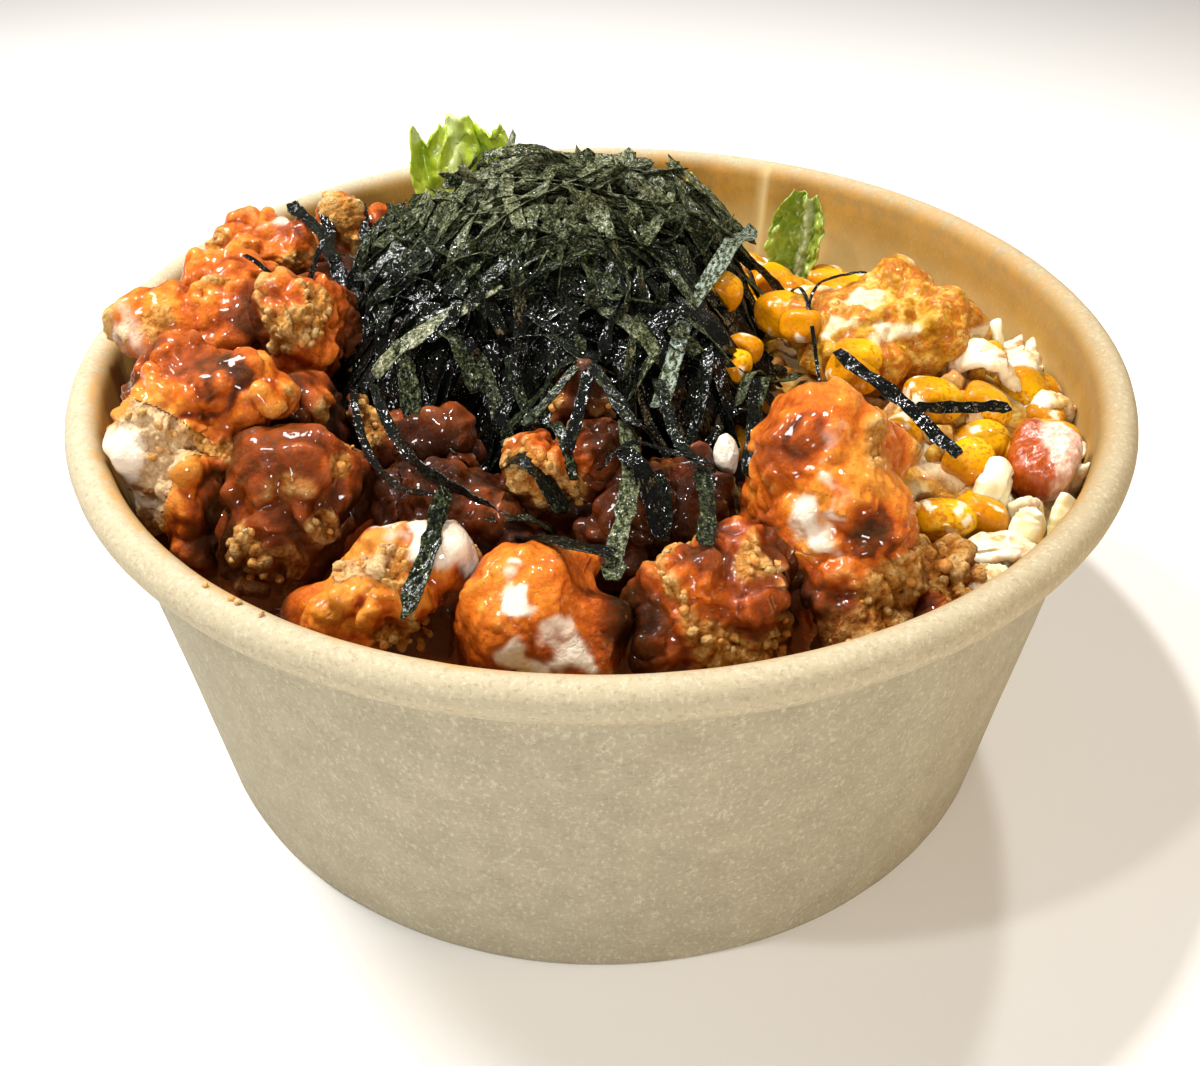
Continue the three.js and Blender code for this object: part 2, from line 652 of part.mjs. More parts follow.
/** The rice: its pile, with single grains on it wherever nothing covers it. */
function makeRice(pile) {
  const height = surveyor([geometryOf(pile)], 0);
  const cover = surveyor(food.map(({ geometry }) => geometry), 0);
  const random = seeded(GRAIN_SEED);
  const grains = [];
  for (let attempt = 0; attempt < GRAIN_TRIES && grains.length < GRAIN_COUNT; attempt += 1) {
    const radius = (roomWall(RICE_TOP) - GRAIN_WALL_GAP) * Math.sqrt(random());
    const angle = random() * Math.PI * 2;
    const turn = random() * Math.PI;
    const [x, y] = [Math.cos(angle) * radius, Math.sin(angle) * radius];
    const near = grains.some((grain) => Math.hypot(grain[0] - x, grain[1] - y) < GRAIN_SPREAD);
    const covered = [0, 1, 2, 3, 4, 5].some((corner) => (
      cover(x + Math.cos(corner) * GRAIN_REACH, y + Math.sin(corner) * GRAIN_REACH) > 0));
    if (!near && !covered) grains.push([x, y, turn]);
  }
  const solids = grains.map(([x, y, turn]) => grainSolid([x, y, height(x, y) + GRAIN_RISE], turn));
  keep('rice_bed', COLOUR.rice, joined([pile, ...solids]), pile);
}

/** A corn kernel lying at a place: a ball squeezed towards its tip, grown by a margin. */
function kernelSolid(at, turn, random, margin) {
  const leaning = new THREE.Euler(
    (random() - 0.5) * KERNEL_LEAN, (random() - 0.5) * KERNEL_LEAN, THREE.MathUtils.degToRad(turn));
  const half = KERNEL_HALF.map((size) => size + margin);
  return solidOf(reshape(new THREE.SphereGeometry(1, 6, 4), (point) => {
    const taper = 1 - KERNEL_TAPER * point.x;
    point.set(point.x * half[0], point.y * half[1] * taper, point.z * half[2] * taper);
    point.applyEuler(leaning).add(at);
  }));
}

/** A curled shred of cabbage lying at a place, grown by a margin. */
function shredSolid(at, turn, start, margin) {
  const turning = new THREE.Euler(...SHRED_TURN, THREE.MathUtils.degToRad(turn), 'ZYX');
  return sheetSolid(3, 2, CABBAGE_THICKNESS + 2 * margin, (u, v) => {
    const curl = LONG_CURL[0] * Math.sin(u * LONG_CURL[1] + start)
      + CROSS_CURL[0] * Math.sin(v * CROSS_CURL[1] + start);
    const point = new THREE.Vector3(
      (u - 0.5) * (SHRED_LENGTH + 2 * margin), (v - 0.5) * (SHRED_WIDTH + 2 * margin), curl);
    return point.applyEuler(turning).add(at);
  });
}

/** The corn salad: a mound with its kernels and cabbage shreds joined to it. */
function makeSalad(space) {
  const mound = (grow) => lumpSolid(SALAD_MOUND, MOUND_SEED, grow, 3);
  const height = surveyor([geometryOf(mound(0))], RICE_TOP);
  const salad = (margin) => joined([
    mound(margin),
    ...KERNELS.map(([x, y, turn], index) => {
      const at = new THREE.Vector3(x, y, height(x, y) + KERNEL_RISE);
      return kernelSolid(at, turn, seeded(KERNEL_SEED + index), margin);
    }),
    ...SHREDS.map(([x, y, turn], index) => {
      const at = new THREE.Vector3(x, y, height(x, y) + SHRED_RISE);
      return shredSolid(at, turn, index * CURL_STEP, margin);
    }),
  ]);
  keep('corn_salad', COLOUR.salad, fitted(salad(0), space), salad(GAP));
}

/** The seaweed heap: a rough mound with the strips that stand out from it joined on. */
function makeSeaweed(space) {
  const mound = (grow) => lumpSolid(SEAWEED_MOUND, HEAP_SEED, grow, 3);
  const core = largestBody(fitted(mound(0), space));
  const onCore = surveyor([geometryOf(core)], 0);
  const onOthers = surveyor(food.map(({ geometry }) => geometry), 0);
  const below = (x, y) => Math.max(onCore(x, y) - STRIP_SINK - GAP, onOthers(x, y));
  const random = seeded(HEAP_STRIP_SEED);
  const [middleX, middleY] = HEAP_MIDDLE;
  const paths = Array.from({ length: HEAP_STRIPS }, (_, index) => {
    const radius = HEAP_RADIUS * Math.sqrt((index + 0.5) / HEAP_STRIPS);
    const around = index * GOLDEN_ANGLE;
    const heading = around + HEADING_START + HEADING_RANGE * random();
    const length = SHORTEST_STRIP + STRIP_LENGTH_RANGE * random();
    const from = [middleX + Math.cos(around) * radius, middleY + Math.sin(around) * radius];
    const to = [from[0] + Math.cos(heading) * length, from[1] + Math.sin(heading) * length];
    return stripPath({
      from: [...from, 0],
      to: [...to, below(...to) + STRIP_RISE],
      bow: GREATEST_BOW * random(),
    }, below);
  });
  const strips = (margin) => paths.map((path) => stripSolid(path, margin));
  const heap = fitted(joined([core, ...strips(0)]), space);
  keep('seaweed_heap', COLOUR.seaweed, heap, joined([mound(GAP), ...strips(GAP)]));
}

/** Single seaweed strips that lie over the chicken and the salad in front of the heap. */
function makeLooseStrips(space) {
  LOOSE_STRIPS.forEach((strip, index) => {
    const below = surveyor(food.map(({ geometry }) => geometry), RICE_TOP);
    const path = stripPath(strip, below);
    const solid = fitted(stripSolid(path, 0), space);
    keep(`seaweed_strip_${index + 1}`, COLOUR.seaweed, solid, stripSolid(path, GAP));
  });
}

/** A named mesh with its own material. */
function meshOf(name, geometry, colour, roughness) {
  const material = new THREE.MeshStandardMaterial({ color: colour, roughness, metalness: 0 });
  const mesh = new THREE.Mesh(geometry, material);
  mesh.name = name;
  return mesh;
}

const room = roomSolid();
const pile = ricePile(0).intersect(room);
const space = room.subtract(ricePile(GAP));
makeChicken(space);
makeChunk(space);
makeCrab(space);
makeSalad(space);
makeLettuce(space);
makeSeaweed(space);
makeLooseStrips(space);
makeRice(pile);

const bowlOfChickenRice = new THREE.Group();
bowlOfChickenRice.add(meshOf('paper_bowl', geometryOf(bowlSolid()), COLOUR.paper, PAPER_ROUGHNESS));
for (const { name, geometry, colour } of food) {
  bowlOfChickenRice.add(meshOf(name, geometry, colour, FOOD_ROUGHNESS));
}

export default bowlOfChickenRice;
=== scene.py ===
# %% [markdown]
# # A bowl of spicy chicken rice
# This lesson dresses the plain solids of a filled paper bowl: fried chicken under a red sauce, a
# heap of shredded seaweed, lettuce leaves and a corn salad. Every surface here is worked out with
# numpy, as a function of two numbers that run over a grid, and then handed to Blender as a mesh.

# %% Load the solids
import math

import bpy
import numpy as np
from mathutils import Matrix, Vector
from mathutils.bvhtree import BVHTree


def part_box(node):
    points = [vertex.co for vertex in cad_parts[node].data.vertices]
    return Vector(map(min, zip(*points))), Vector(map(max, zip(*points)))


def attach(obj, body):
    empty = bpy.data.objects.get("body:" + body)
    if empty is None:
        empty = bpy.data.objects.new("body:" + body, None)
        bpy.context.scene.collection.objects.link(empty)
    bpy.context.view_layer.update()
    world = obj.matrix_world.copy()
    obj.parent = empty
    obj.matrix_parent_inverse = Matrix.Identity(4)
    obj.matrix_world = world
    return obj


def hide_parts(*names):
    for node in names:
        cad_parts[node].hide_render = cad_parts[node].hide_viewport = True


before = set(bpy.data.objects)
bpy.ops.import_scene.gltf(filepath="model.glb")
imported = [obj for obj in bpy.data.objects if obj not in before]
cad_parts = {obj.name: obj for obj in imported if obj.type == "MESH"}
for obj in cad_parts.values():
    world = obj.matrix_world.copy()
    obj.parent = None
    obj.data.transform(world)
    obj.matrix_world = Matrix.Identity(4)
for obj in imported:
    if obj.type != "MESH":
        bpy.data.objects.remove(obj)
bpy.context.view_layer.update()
MM = 0.001
print("solids:", len(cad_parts))

# %% [markdown]
# ## The camera and the light
# The bowl is seen from close by and from above its rim. The eye's place and its turn were fitted
# to the outline of the rim and the base, so a lens and a place are all the camera needs. The
# light is soft and pale, from the upper left. One large lamp alone would make the sauce look dull,
# so three small ones draw the bright reflections that make it look wet. A warm one tints the right
# side, and a low one lights the paper's front.

# %% Set the camera
PHOTO_WIDTH = 1200
EYE = (0.0, -165.27, 151.20)
LOOK_DOWN = 0.6556
LOOK_ASIDE = -0.0017
ROLL = -0.0072
FOCAL_PIXELS = 1275.46
SENSOR_WIDTH = 36.0
NEAREST = 0.01  # metres


def camera_turn():
    """The camera's own axes: forward from the two look angles, then right and up turned by the roll."""
    forward = Vector((math.sin(LOOK_ASIDE) * math.cos(LOOK_DOWN),
                      math.cos(LOOK_ASIDE) * math.cos(LOOK_DOWN), -math.sin(LOOK_DOWN)))
    right = forward.cross(Vector((0, 0, 1))).normalized()
    up = right.cross(forward)
    rolled_right = right * math.cos(ROLL) + up * math.sin(ROLL)
    rolled_up = up * math.cos(ROLL) - right * math.sin(ROLL)
    return Matrix((rolled_right, rolled_up, -forward)).transposed().to_4x4()


lens = bpy.data.cameras.new("camera")
lens.sensor_width = SENSOR_WIDTH
lens.lens = FOCAL_PIXELS / PHOTO_WIDTH * SENSOR_WIDTH
lens.clip_start = NEAREST
camera = bpy.data.objects.new("camera", lens)
camera.matrix_world = Matrix.Translation(Vector(EYE) * MM) @ camera_turn()
bpy.context.scene.collection.objects.link(camera)
bpy.context.scene.camera = camera
bpy.context.scene.view_settings.view_transform = "Standard"
print("lens", round(lens.lens, 2), "mm")


# %% Set the lights
LAMP_AIM = Vector((0, 0, 0.05))
LAMPS = [
    # name, place in millimetres, side in metres, watts and colour
    ("window", (-260, 120, 460), 0.14, 3.0, (1, 1, 1)),
    ("spark", (-60, 60, 400), 0.02, 1.0, (1, 1, 1)),
    ("second_spark", (160, 180, 380), 0.02, 0.5, (1, 1, 1)),
    ("third_spark", (-200, -160, 420), 0.02, 0.5, (1, 1, 1)),
    ("warm_side", (420, -120, 160), 0.2, 0.55, (1.0, 0.68, 0.3)),
    ("front_fill", (-40, -560, 260), 0.1, 1.8, (1, 1, 1)),
]
ROOM_COLOUR = (1, 0.9, 0.78, 1)
ROOM_STRENGTH = 0.17


def soft_lamp(name, place, size, watts, colour):
    """A square lamp at a place in millimetres that shines at the middle of the bowl."""
    lamp = bpy.data.lights.new(name, "AREA")
    lamp.size = size
    lamp.energy = watts
    lamp.color = colour
    holder = bpy.data.objects.new(name, lamp)
    stand = Vector(place) * MM
    turned = (LAMP_AIM - stand).to_track_quat("-Z", "Y").to_matrix().to_4x4()
    holder.matrix_world = Matrix.Translation(stand) @ turned
    bpy.context.scene.collection.objects.link(holder)


for lamp in LAMPS:
    soft_lamp(*lamp)
world = bpy.data.worlds.new("studio")
world.use_nodes = True
background = world.node_tree.nodes["Background"].inputs
background["Color"].default_value = ROOM_COLOUR
background["Strength"].default_value = ROOM_STRENGTH
bpy.context.scene.world = world
print("lamps:", len(LAMPS))

# %% [markdown]
# ## Tools for surfaces
# Food is uneven at every size. Smooth random bumps come from lattice noise: a random slope sits
# on each corner of a grid of cubes, and a point blends the slopes of the eight corners round it.
# Added up at finer and finer pitches it gives the grain of a crust or of paper.

# %% Noise in space
LATTICE = 256
LAST_BITS = LATTICE - 1
SEED_STEP = 17.31
NOISE_GAIN = 1.6
SHUFFLE = np.random.default_rng(1).permutation(LATTICE)
SLOPES = np.random.default_rng(2).normal(size=(LATTICE, 3))
SLOPES /= np.linalg.norm(SLOPES, axis=1, keepdims=True)


def noise(points, pitch, seed=0):
    """Smooth random heights of about -1 to 1: each corner's slope times the way to it, blended.
    The lattice repeats after 256 cubes, and a seed moves the points to another part of it."""
    scaled = points / pitch + seed * SEED_STEP
    cell = np.floor(scaled).astype(np.int64)
    inside = scaled - cell
    blend = inside ** 3 * (inside * (inside * 6 - 15) + 10)
    total = np.zeros(len(points))
    for corner in np.ndindex(2, 2, 2):
        x, y, z = (cell + corner).T & LAST_BITS
        slope = SLOPES[SHUFFLE[(SHUFFLE[(SHUFFLE[x] + y) & LAST_BITS] + z) & LAST_BITS]]
        height = ((inside - corner) * slope).sum(1)
        share = np.where(np.array(corner) == 1, blend, 1 - blend).prod(1)
        total += share * height
    return total * NOISE_GAIN


def rough(points, pitch, layers=3, seed=0):
    """Noise over noise: each layer has half the pitch and half the height of the one before."""
    return sum(noise(points, pitch / 2 ** k, seed + k) / 2 ** k for k in range(layers))


def shifts(points, pitch, layers, seed):
    """A small move for each point: one rough for each of the three axes."""
    return np.stack([rough(points, pitch, layers, seed + axis) for axis in range(3)], 1)


def smooth_step(low, high, value):
    """Nought below low, one above high, and an even S between them."""
    share = np.clip((value - low) / (high - low), 0, 1)
    return share * share * (3 - 2 * share)


sample = np.random.default_rng(3).uniform(0, 50, (4000, 3))
print("noise runs from", *np.round(np.percentile(rough(sample, 5), (1, 99)), 2))


# %% The bowl's sizes and its wall
_, bowl_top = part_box("paper_bowl")
RIM_RADIUS = bowl_top.x / MM
BOWL_HEIGHT = bowl_top.z / MM
BASE_RADIUS = 64.5
PAPER = 0.6
BEAD_WIDTH = 5.0
BEAD_HEIGHT = 5.4
WALL_SLOPE = (RIM_RADIUS - BEAD_WIDTH + PAPER - BASE_RADIUS) / (BOWL_HEIGHT - BEAD_HEIGHT)


def inside_wall(points, margin=0.3):
    """Food that would reach past the wall is pressed flat against its inner face."""
    wall = BASE_RADIUS + WALL_SLOPE * np.minimum(points[:, 2], BOWL_HEIGHT - BEAD_HEIGHT) - PAPER - margin
    radius = np.maximum(np.hypot(points[:, 0], points[:, 1]), 1e-6)
    share = np.where(points[:, 2] < BOWL_HEIGHT, np.minimum(wall / radius, 1), 1)
    return points * np.stack([share, share, np.ones_like(share)], 1)


print("the wall leans out", round(math.degrees(math.atan(WALL_SLOPE)), 1), "degrees")


# %% Meshes from arrays
def normals_of(points, faces):
    """Each point's normal: the sum of the crossed diagonals of the faces round it."""
    crossed = np.cross(points[faces[:, 2]] - points[faces[:, 0]], points[faces[:, -1]] - points[faces[:, 1]])
    summed = np.stack([sum(np.bincount(faces[:, k], crossed[:, axis], len(points))
                           for k in range(faces.shape[1])) for axis in range(3)], 1)
    return summed / np.maximum(np.linalg.norm(summed, axis=1, keepdims=True), 1e-12)


def make_piece(name, points, faces, finish, nodes=(), marks=None):
    """Makes one mesh object from points in millimetres and faces with three or four corners. Its
    marks are one number for each point and name, which the finish reads."""
    groups = faces if isinstance(faces, list) else [faces]
    corners = np.concatenate([group.ravel() for group in groups]).astype(np.int32)
    sizes = np.concatenate([np.full(len(group), group.shape[1]) for group in groups])
    starts = np.concatenate([[0], np.cumsum(sizes)[:-1]]).astype(np.int32)
    mesh = bpy.data.meshes.new(name)
    mesh.vertices.add(len(points))
    mesh.vertices.foreach_set("co", (points * MM).astype(np.float32).ravel())
    mesh.loops.add(len(corners))
    mesh.loops.foreach_set("vertex_index", corners)
    mesh.polygons.add(len(starts))
    mesh.polygons.foreach_set("loop_start", starts)
    mesh.update(calc_edges=True)
    mesh.polygons.foreach_set("use_smooth", np.ones(len(starts), bool))
    for mark, values in (marks or {}).items():
        mesh.attributes.new(mark, "FLOAT", "POINT").data.foreach_set("value", values.astype(np.float32))
    mesh.materials.append(finish)
    made = bpy.data.objects.new(name, mesh)
    bpy.context.scene.collection.objects.link(made)
    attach(made, "root")
    if nodes:
        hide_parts(*nodes)
    print(name, int((sizes - 2).sum()), "triangles")


# %% Read the solids
SKY = 200.0


def solid_arrays(node):
    """The points of a solid in millimetres and its triangles."""
    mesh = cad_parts[node].data
    mesh.calc_loop_triangles()
    points = np.empty(len(mesh.vertices) * 3, np.float32)
    mesh.vertices.foreach_get("co", points)
    triangles = np.empty(len(mesh.loop_triangles) * 3, np.int32)
    mesh.loop_triangles.foreach_get("vertices", triangles)
    return points.reshape(-1, 3).astype(float) / MM, triangles.reshape(-1, 3)


def tree_of(nodes):
    """A search tree over some solids, for dropping things onto them. It works in millimetres."""
    points, triangles, offset = [], [], 0
    for node in nodes:
        own, faces = solid_arrays(node)
        points.append(own)
        triangles.append(faces + offset)
        offset += len(own)
    return BVHTree.FromPolygons(np.concatenate(points).tolist(), np.concatenate(triangles).tolist())


def heights_under(tree, places, floor):
    """The height of the highest surface under each place (x, y), or the floor's height."""
    hits = [tree.ray_cast((x, y, SKY), (0, 0, -1))[0] for x, y in places]
    return np.array([floor if hit is None else hit.z for hit in hits])


print("the bowl's solid has", len(solid_arrays("paper_bowl")[1]), "triangles")

# %% [markdown]
# ## Tools for finishes
# A finish is a small network of nodes round one Principled shader. It could be wired by hand in
# the editor, but then nobody could read it here. The class below gives each kind of node a short
# word, and sizes are given in millimetres, so that a crumb or a fibre has its true size. Colours
# are written as they look on a screen and turned into light here.

# %% Screen colours
def paint(code):
    """A screen colour such as #c98a3c as linear light."""
    channels = [int(code[k:k + 2], 16) / 255 for k in (1, 3, 5)]
    return tuple(c / 12.92 if c <= 0.04045 else ((c + 0.055) / 1.055) ** 2.4 for c in channels) + (1,)


print("the colour #c98a3c as light:", *np.round(paint("#c98a3c")[:3], 3))


# %% Finishes
class Finish:
    """A material with short words for the nodes that feed its one shader."""

    def __init__(self, name):
        """An empty material with one shader, and the place on the object in metres."""
        self.material = bpy.data.materials.new(name)
        self.material.use_nodes = True
        self.tree = self.material.node_tree
        self.tree.nodes.clear()
        self.shader = self.tree.nodes.new("ShaderNodeBsdfPrincipled")
        output = self.tree.nodes.new("ShaderNodeOutputMaterial")
        self.tree.links.new(self.shader.outputs["BSDF"], output.inputs["Surface"])
        self.place = self.tree.nodes.new("ShaderNodeTexCoord").outputs["Object"]

    def feed(self, socket, value):
        """Links a node's output to a socket, or sets the socket to a plain value."""
        if isinstance(value, bpy.types.NodeSocket):
            self.tree.links.new(value, socket)
        else:
            socket.default_value = value

    def node(self, kind, inputs, **settings):
        """A new node of a kind, with its inputs fed and its settings made."""
        made = self.tree.nodes.new(kind)
        for key, value in settings.items():
            setattr(made, key, value)
        for key, value in inputs.items():
            self.feed(made.inputs[key], value)
        return made

    def set(self, **inputs):
        """Sets the shader's sockets: Base_Color is its socket Base Color."""
        for key, value in inputs.items():
            self.feed(self.shader.inputs[key.replace("_", " ")], value)

    def stretched(self, x, y, z):
        """The place with each axis scaled, so that a pattern is drawn out or pressed together."""
        return self.node("ShaderNodeMapping", {"Vector": self.place, "Scale": (x, y, z)}).outputs["Vector"]

    def speckle(self, size, detail=3.0, roughness=0.5, place=None):
        """Cloudy noise with spots of about a size in millimetres."""
        return self.node("ShaderNodeTexNoise", {
            "Vector": place or self.place, "Scale": 1 / (size * MM), "Detail": detail,
            "Roughness": roughness}).outputs["Fac"]

    def cells(self, size, place=None, feature="F1"):
        """The distance to the nearest of many scattered points, a size in millimetres apart, or
        with another feature to the nearest border between their cells."""
        return self.node("ShaderNodeTexVoronoi", {
            "Vector": place or self.place, "Scale": 1 / (size * MM)}, feature=feature).outputs["Distance"]

    def read(self, mark):
        """A value that the mesh carries at each point."""
        return self.node("ShaderNodeAttribute", {}, attribute_name=mark).outputs["Fac"]

    def reckon(self, operation, first, second):
        """One value out of two, by one of the sums that a Math node knows."""
        return self.node("ShaderNodeMath", {0: first, 1: second}, operation=operation).outputs[0]

    def plus(self, first, second):
        """The sum of two values."""
        return self.reckon("ADD", first, second)

    def minus(self, first, second):
        """The first value less the second."""
        return self.reckon("SUBTRACT", first, second)

    def times(self, first, second):
        """The product of two values."""
        return self.reckon("MULTIPLY", first, second)

    def larger(self, first, second):
        """The larger of two values."""
        return self.reckon("MAXIMUM", first, second)

    def range(self, value, low, high, to_low=0.0, to_high=1.0):
        """Maps low and high to two other values, with an even S between them."""
        return self.node("ShaderNodeMapRange", {
            "Value": value, "From Min": low, "From Max": high, "To Min": to_low, "To Max": to_high},
            interpolation_type="SMOOTHSTEP").outputs["Result"]

    def ramp(self, value, *stops):
        """A row of colours: each stop is a position and a screen colour."""
        made = self.node("ShaderNodeValToRGB", {"Fac": value})
        elements = made.color_ramp.elements
        while len(elements) < len(stops):
            elements.new(0.5)
        for element, (position, code) in zip(elements, stops):
            element.position = position
            element.color = paint(code)
        return made.outputs["Color"]

    def mix(self, share, first, second):
        """One colour into another by a share."""
        made = self.node("ShaderNodeMix", {}, data_type="RGBA")
        for key, value in ((0, share), (6, first), (7, second)):
            self.feed(made.inputs[key], paint(value) if isinstance(value, str) else value)
        return made.outputs[2]

    def bump(self, *layers):
        """Small relief: each layer is a height, its depth in millimetres and a strength."""
        normal = None
        for height, depth, strength in layers:
            inputs = {"Height": height, "Distance": depth * MM, "Strength": strength}
            if normal is not None:
                inputs["Normal"] = normal
            normal = self.node("ShaderNodeBump", inputs).outputs["Normal"]
        self.set(Normal=normal)

    def coat_bump(self, height, depth, strength):
        """Relief of the clear coat alone, so that its reflections break up."""
        self.set(Coat_Normal=self.node("ShaderNodeBump", {
            "Height": height, "Distance": depth * MM, "Strength": strength}).outputs["Normal"])


# %% [markdown]
# ## The paper bowl
# The bowl is wound from kraft paper: a skirt, a raised floor, a straight flared wall and a rim
# that is rolled outwards. It is a turned shape. Blender could spin a profile, but here the surface
# is worked out as a function of an angle and of the way along one profile, because each point then
# knows how far from the rim it lies, and the finish needs that. The wall's two ends overlap in a
# lap, which shows as a pale upright line inside the back wall. Long fibres and dark specks lie in
# the paper, and the sauce has stained it in places. Light and shade are painted on it as well: a
# highlight on top of the rim, shade under it, warm light on its right side and paler paper low inside.

# %% Turn the bowl
SKIRT_HEIGHT = 5.0
SKIRT_WIDTH = 1.8
FOOT_EDGE = 0.3
CORNER_RADIUS = 2
BEAD_STEPS = 34
CORNER_STEPS = 7
PROFILE_STEP = 1.4
BOWL_TURNS = 440
LAP_ANGLE = math.radians(64)
LAP_WIDTH = 9.0


def bowl_profile():
    """Radius and height along the paper, from the floor's underside round the rim and back in."""
    floor = SKIRT_HEIGHT + PAPER
    skirt = BASE_RADIUS - SKIRT_WIDTH
    angle = np.radians(np.linspace(-128, 180, BEAD_STEPS))
    bead = np.stack([RIM_RADIUS - BEAD_WIDTH / 2 * (1 - np.cos(angle)),
                     BOWL_HEIGHT - BEAD_HEIGHT / 2 * (1 - np.sin(angle))], 1)
    inner_base = BASE_RADIUS + WALL_SLOPE * floor - PAPER
    bend = np.radians(np.linspace(0, 90, CORNER_STEPS))
    corner = np.stack([inner_base - CORNER_RADIUS * (1 - np.cos(bend)),
                       floor + CORNER_RADIUS * (1 - np.sin(bend))], 1)
    foot = [[0, SKIRT_HEIGHT], [skirt, SKIRT_HEIGHT], [skirt, FOOT_EDGE], [skirt + FOOT_EDGE, 0],
            [BASE_RADIUS - FOOT_EDGE, 0], [BASE_RADIUS, FOOT_EDGE]]
    points = np.concatenate([foot, bead, corner[:1], corner, [[0, floor]]])
    lengths = np.linalg.norm(np.diff(points, axis=0), axis=1)
    steps = np.maximum(np.ceil(lengths / PROFILE_STEP), 1).astype(int)
    parts = [a + (b - a) * np.linspace(0, 1, n, endpoint=False)[:, None]
             for a, b, n in zip(points[:-1], points[1:], steps)]
    return np.concatenate(parts + [points[-1:]])


def turned_surface(profile, turns):
    """The point at an angle t of a profile with radius r and height h is (r cos t, r sin t, h)."""
    angle = np.linspace(0, 2 * math.pi, turns, endpoint=False)
    radius, height = profile[1:-1].T
    ring = np.stack([radius[:, None] * np.cos(angle), radius[:, None] * np.sin(angle),
                     np.repeat(height[:, None], turns, 1)], -1)
    rows, columns = ring.shape[:2]
    points = np.concatenate([ring.reshape(-1, 3), [[0, 0, profile[0, 1]], [0, 0, profile[-1, 1]]]])
    index = np.arange(rows * columns).reshape(rows, columns)
    beside = np.roll(index, -1, axis=1)
    quads = np.stack([index[:-1], beside[:-1], beside[1:], index[1:]], -1).reshape(-1, 4)
    first = np.stack([np.full(columns, rows * columns), beside[0], index[0]], 1)
    last = np.stack([np.full(columns, rows * columns + 1), index[-1], beside[-1]], 1)
    return points, quads, np.concatenate([first, last])


profile = bowl_profile()
points, quads, caps = turned_surface(profile, BOWL_TURNS)
along = np.concatenate([[0], np.cumsum(np.linalg.norm(np.diff(profile, axis=0), axis=1))])
along_point = np.concatenate([np.repeat(along[1:-1], BOWL_TURNS), along[[0, -1]]])
radius = np.hypot(points[:, 0], points[:, 1])
outward = points * [1, 1, 0] / np.maximum(radius, 1e-6)[:, None]
rim_at = along[np.argmax(profile[:, 1])]
inside = smooth_step(rim_at - 0.5, rim_at + 3.5, along_point)
from_lap = (np.arctan2(points[:, 1], points[:, 0]) - LAP_ANGLE) * radius
lap = smooth_step(0, 0.7, from_lap) * (1 - smooth_step(LAP_WIDTH, LAP_WIDTH + 0.3, from_lap))
wall = radius > BASE_RADIUS - 0.5
waves = 0.10 * noise(points, 22, 5) + 0.05 * noise(points * [1, 1, 0.3], 5, 6)
points = points + outward * (wall * (waves - 0.3 * lap * inside))[:, None]
lap_line = np.exp(-(from_lap / 0.8) ** 2) * inside


# %% Kraft paper
def kraft_paper():
    """Grey-beige pulp outside and a warmer inside, with fibres, dark specks and sauce stains, and with
    painted light and shade on the rim and the low inner wall.
    """
    finish = Finish("kraft_paper")
    fibres = finish.speckle(0.55, 4, 0.7, finish.stretched(1, 1, 0.6))
    threads = finish.speckle(0.45, 4, 0.75, finish.stretched(0.5, 0.5, 1))
    clouds = finish.speckle(5, 3)
    specks = finish.speckle(0.3, 2, 0.6, finish.stretched(1, 1, 0.5))
    outer = finish.ramp(clouds, (0.3, "#958b73"), (0.7, "#a1977e"))
    inner = finish.ramp(clouds, (0.3, "#89600c"), (0.7, "#986d14"))
    pulp = finish.mix(finish.read("inside"), outer, inner)
    # Painted highlight: the top of the rolled rim is made paler, for the light that falls on it from above.
    pulp = finish.mix(finish.read("bead"), pulp, "#b4a688")
    # Painted shade: a darker band under the rolled rim and a darker, warmer right side of the rim.
    pulp = finish.mix(finish.read("painted_rim_shade"), pulp, "#927d54")
    outside = finish.range(finish.read("inside"), 0, 1, 1, 0.2)
    pale = finish.times(finish.range(fibres, 0.5, 0.68, 0, 0.32), outside)
    dark = finish.times(finish.range(threads, 0.5, 0.68, 0, 0.36), outside)
    pulp = finish.mix(pale, pulp, "#d8cfb6")
    pulp = finish.mix(dark, pulp, "#75684c")
    pulp = finish.mix(finish.range(specks, 0.66, 0.74, 0, 0.5), pulp, "#6b5436")
    # The lap mark carries the pale lap line and a painted fill light that makes the shaded lower inner wall
    # paler.
    pulp = finish.mix(finish.read("lap"), pulp, "#e5cf9b")
    stain_and_warm_light = finish.times(finish.read("stain_and_warm_light"), finish.range(finish.speckle(2.2, 4), 0.35, 0.62))
    # Sauce stains, with the painted warm light on the rim at the right and the back.
    pulp = finish.mix(stain_and_warm_light, pulp, "#bb8024")
    finish.set(Base_Color=pulp, Roughness=0.78, Specular_IOR_Level=0.25)
    finish.bump((threads, 0.05, 0.5), (clouds, 0.2, 0.2))
    return finish.material


# %% Stain the paper
# Soft stains lie at a few places. One runs along the rim's inner edge at the front, less on the
# right. A faint golden tint on the rim at the right and the back is painted warm light.
STAINS = [  # x, y, z and the radius
    (-62, 52, 59, 5), (-20, 72, 59, 9), (12, 73, 58, 8), (-46, -55, 56, 6), (46, 57, 57, 5),
    (55, -40, 57, 8), (-69, -20, 54, 7), (24, 70, 57, 6)]
stain_and_warm_light = np.zeros(len(points))
for *place, size in STAINS:
    stain_and_warm_light = np.maximum(stain_and_warm_light, np.exp(-((points - place) ** 2).sum(1) / size ** 2))
x, y, z = points.T
edge = np.exp(-((along_point - rim_at - 1.5) / 0.8) ** 2) * smooth_step(20, -20, y)
edge = edge * (0.2 + 0.8 * smooth_step(30, -10, x))
stain_and_warm_light = np.maximum(stain_and_warm_light * inside * 0.7, 0.6 * edge * smooth_step(-0.6, 0.2, noise(points, 9, 12)))
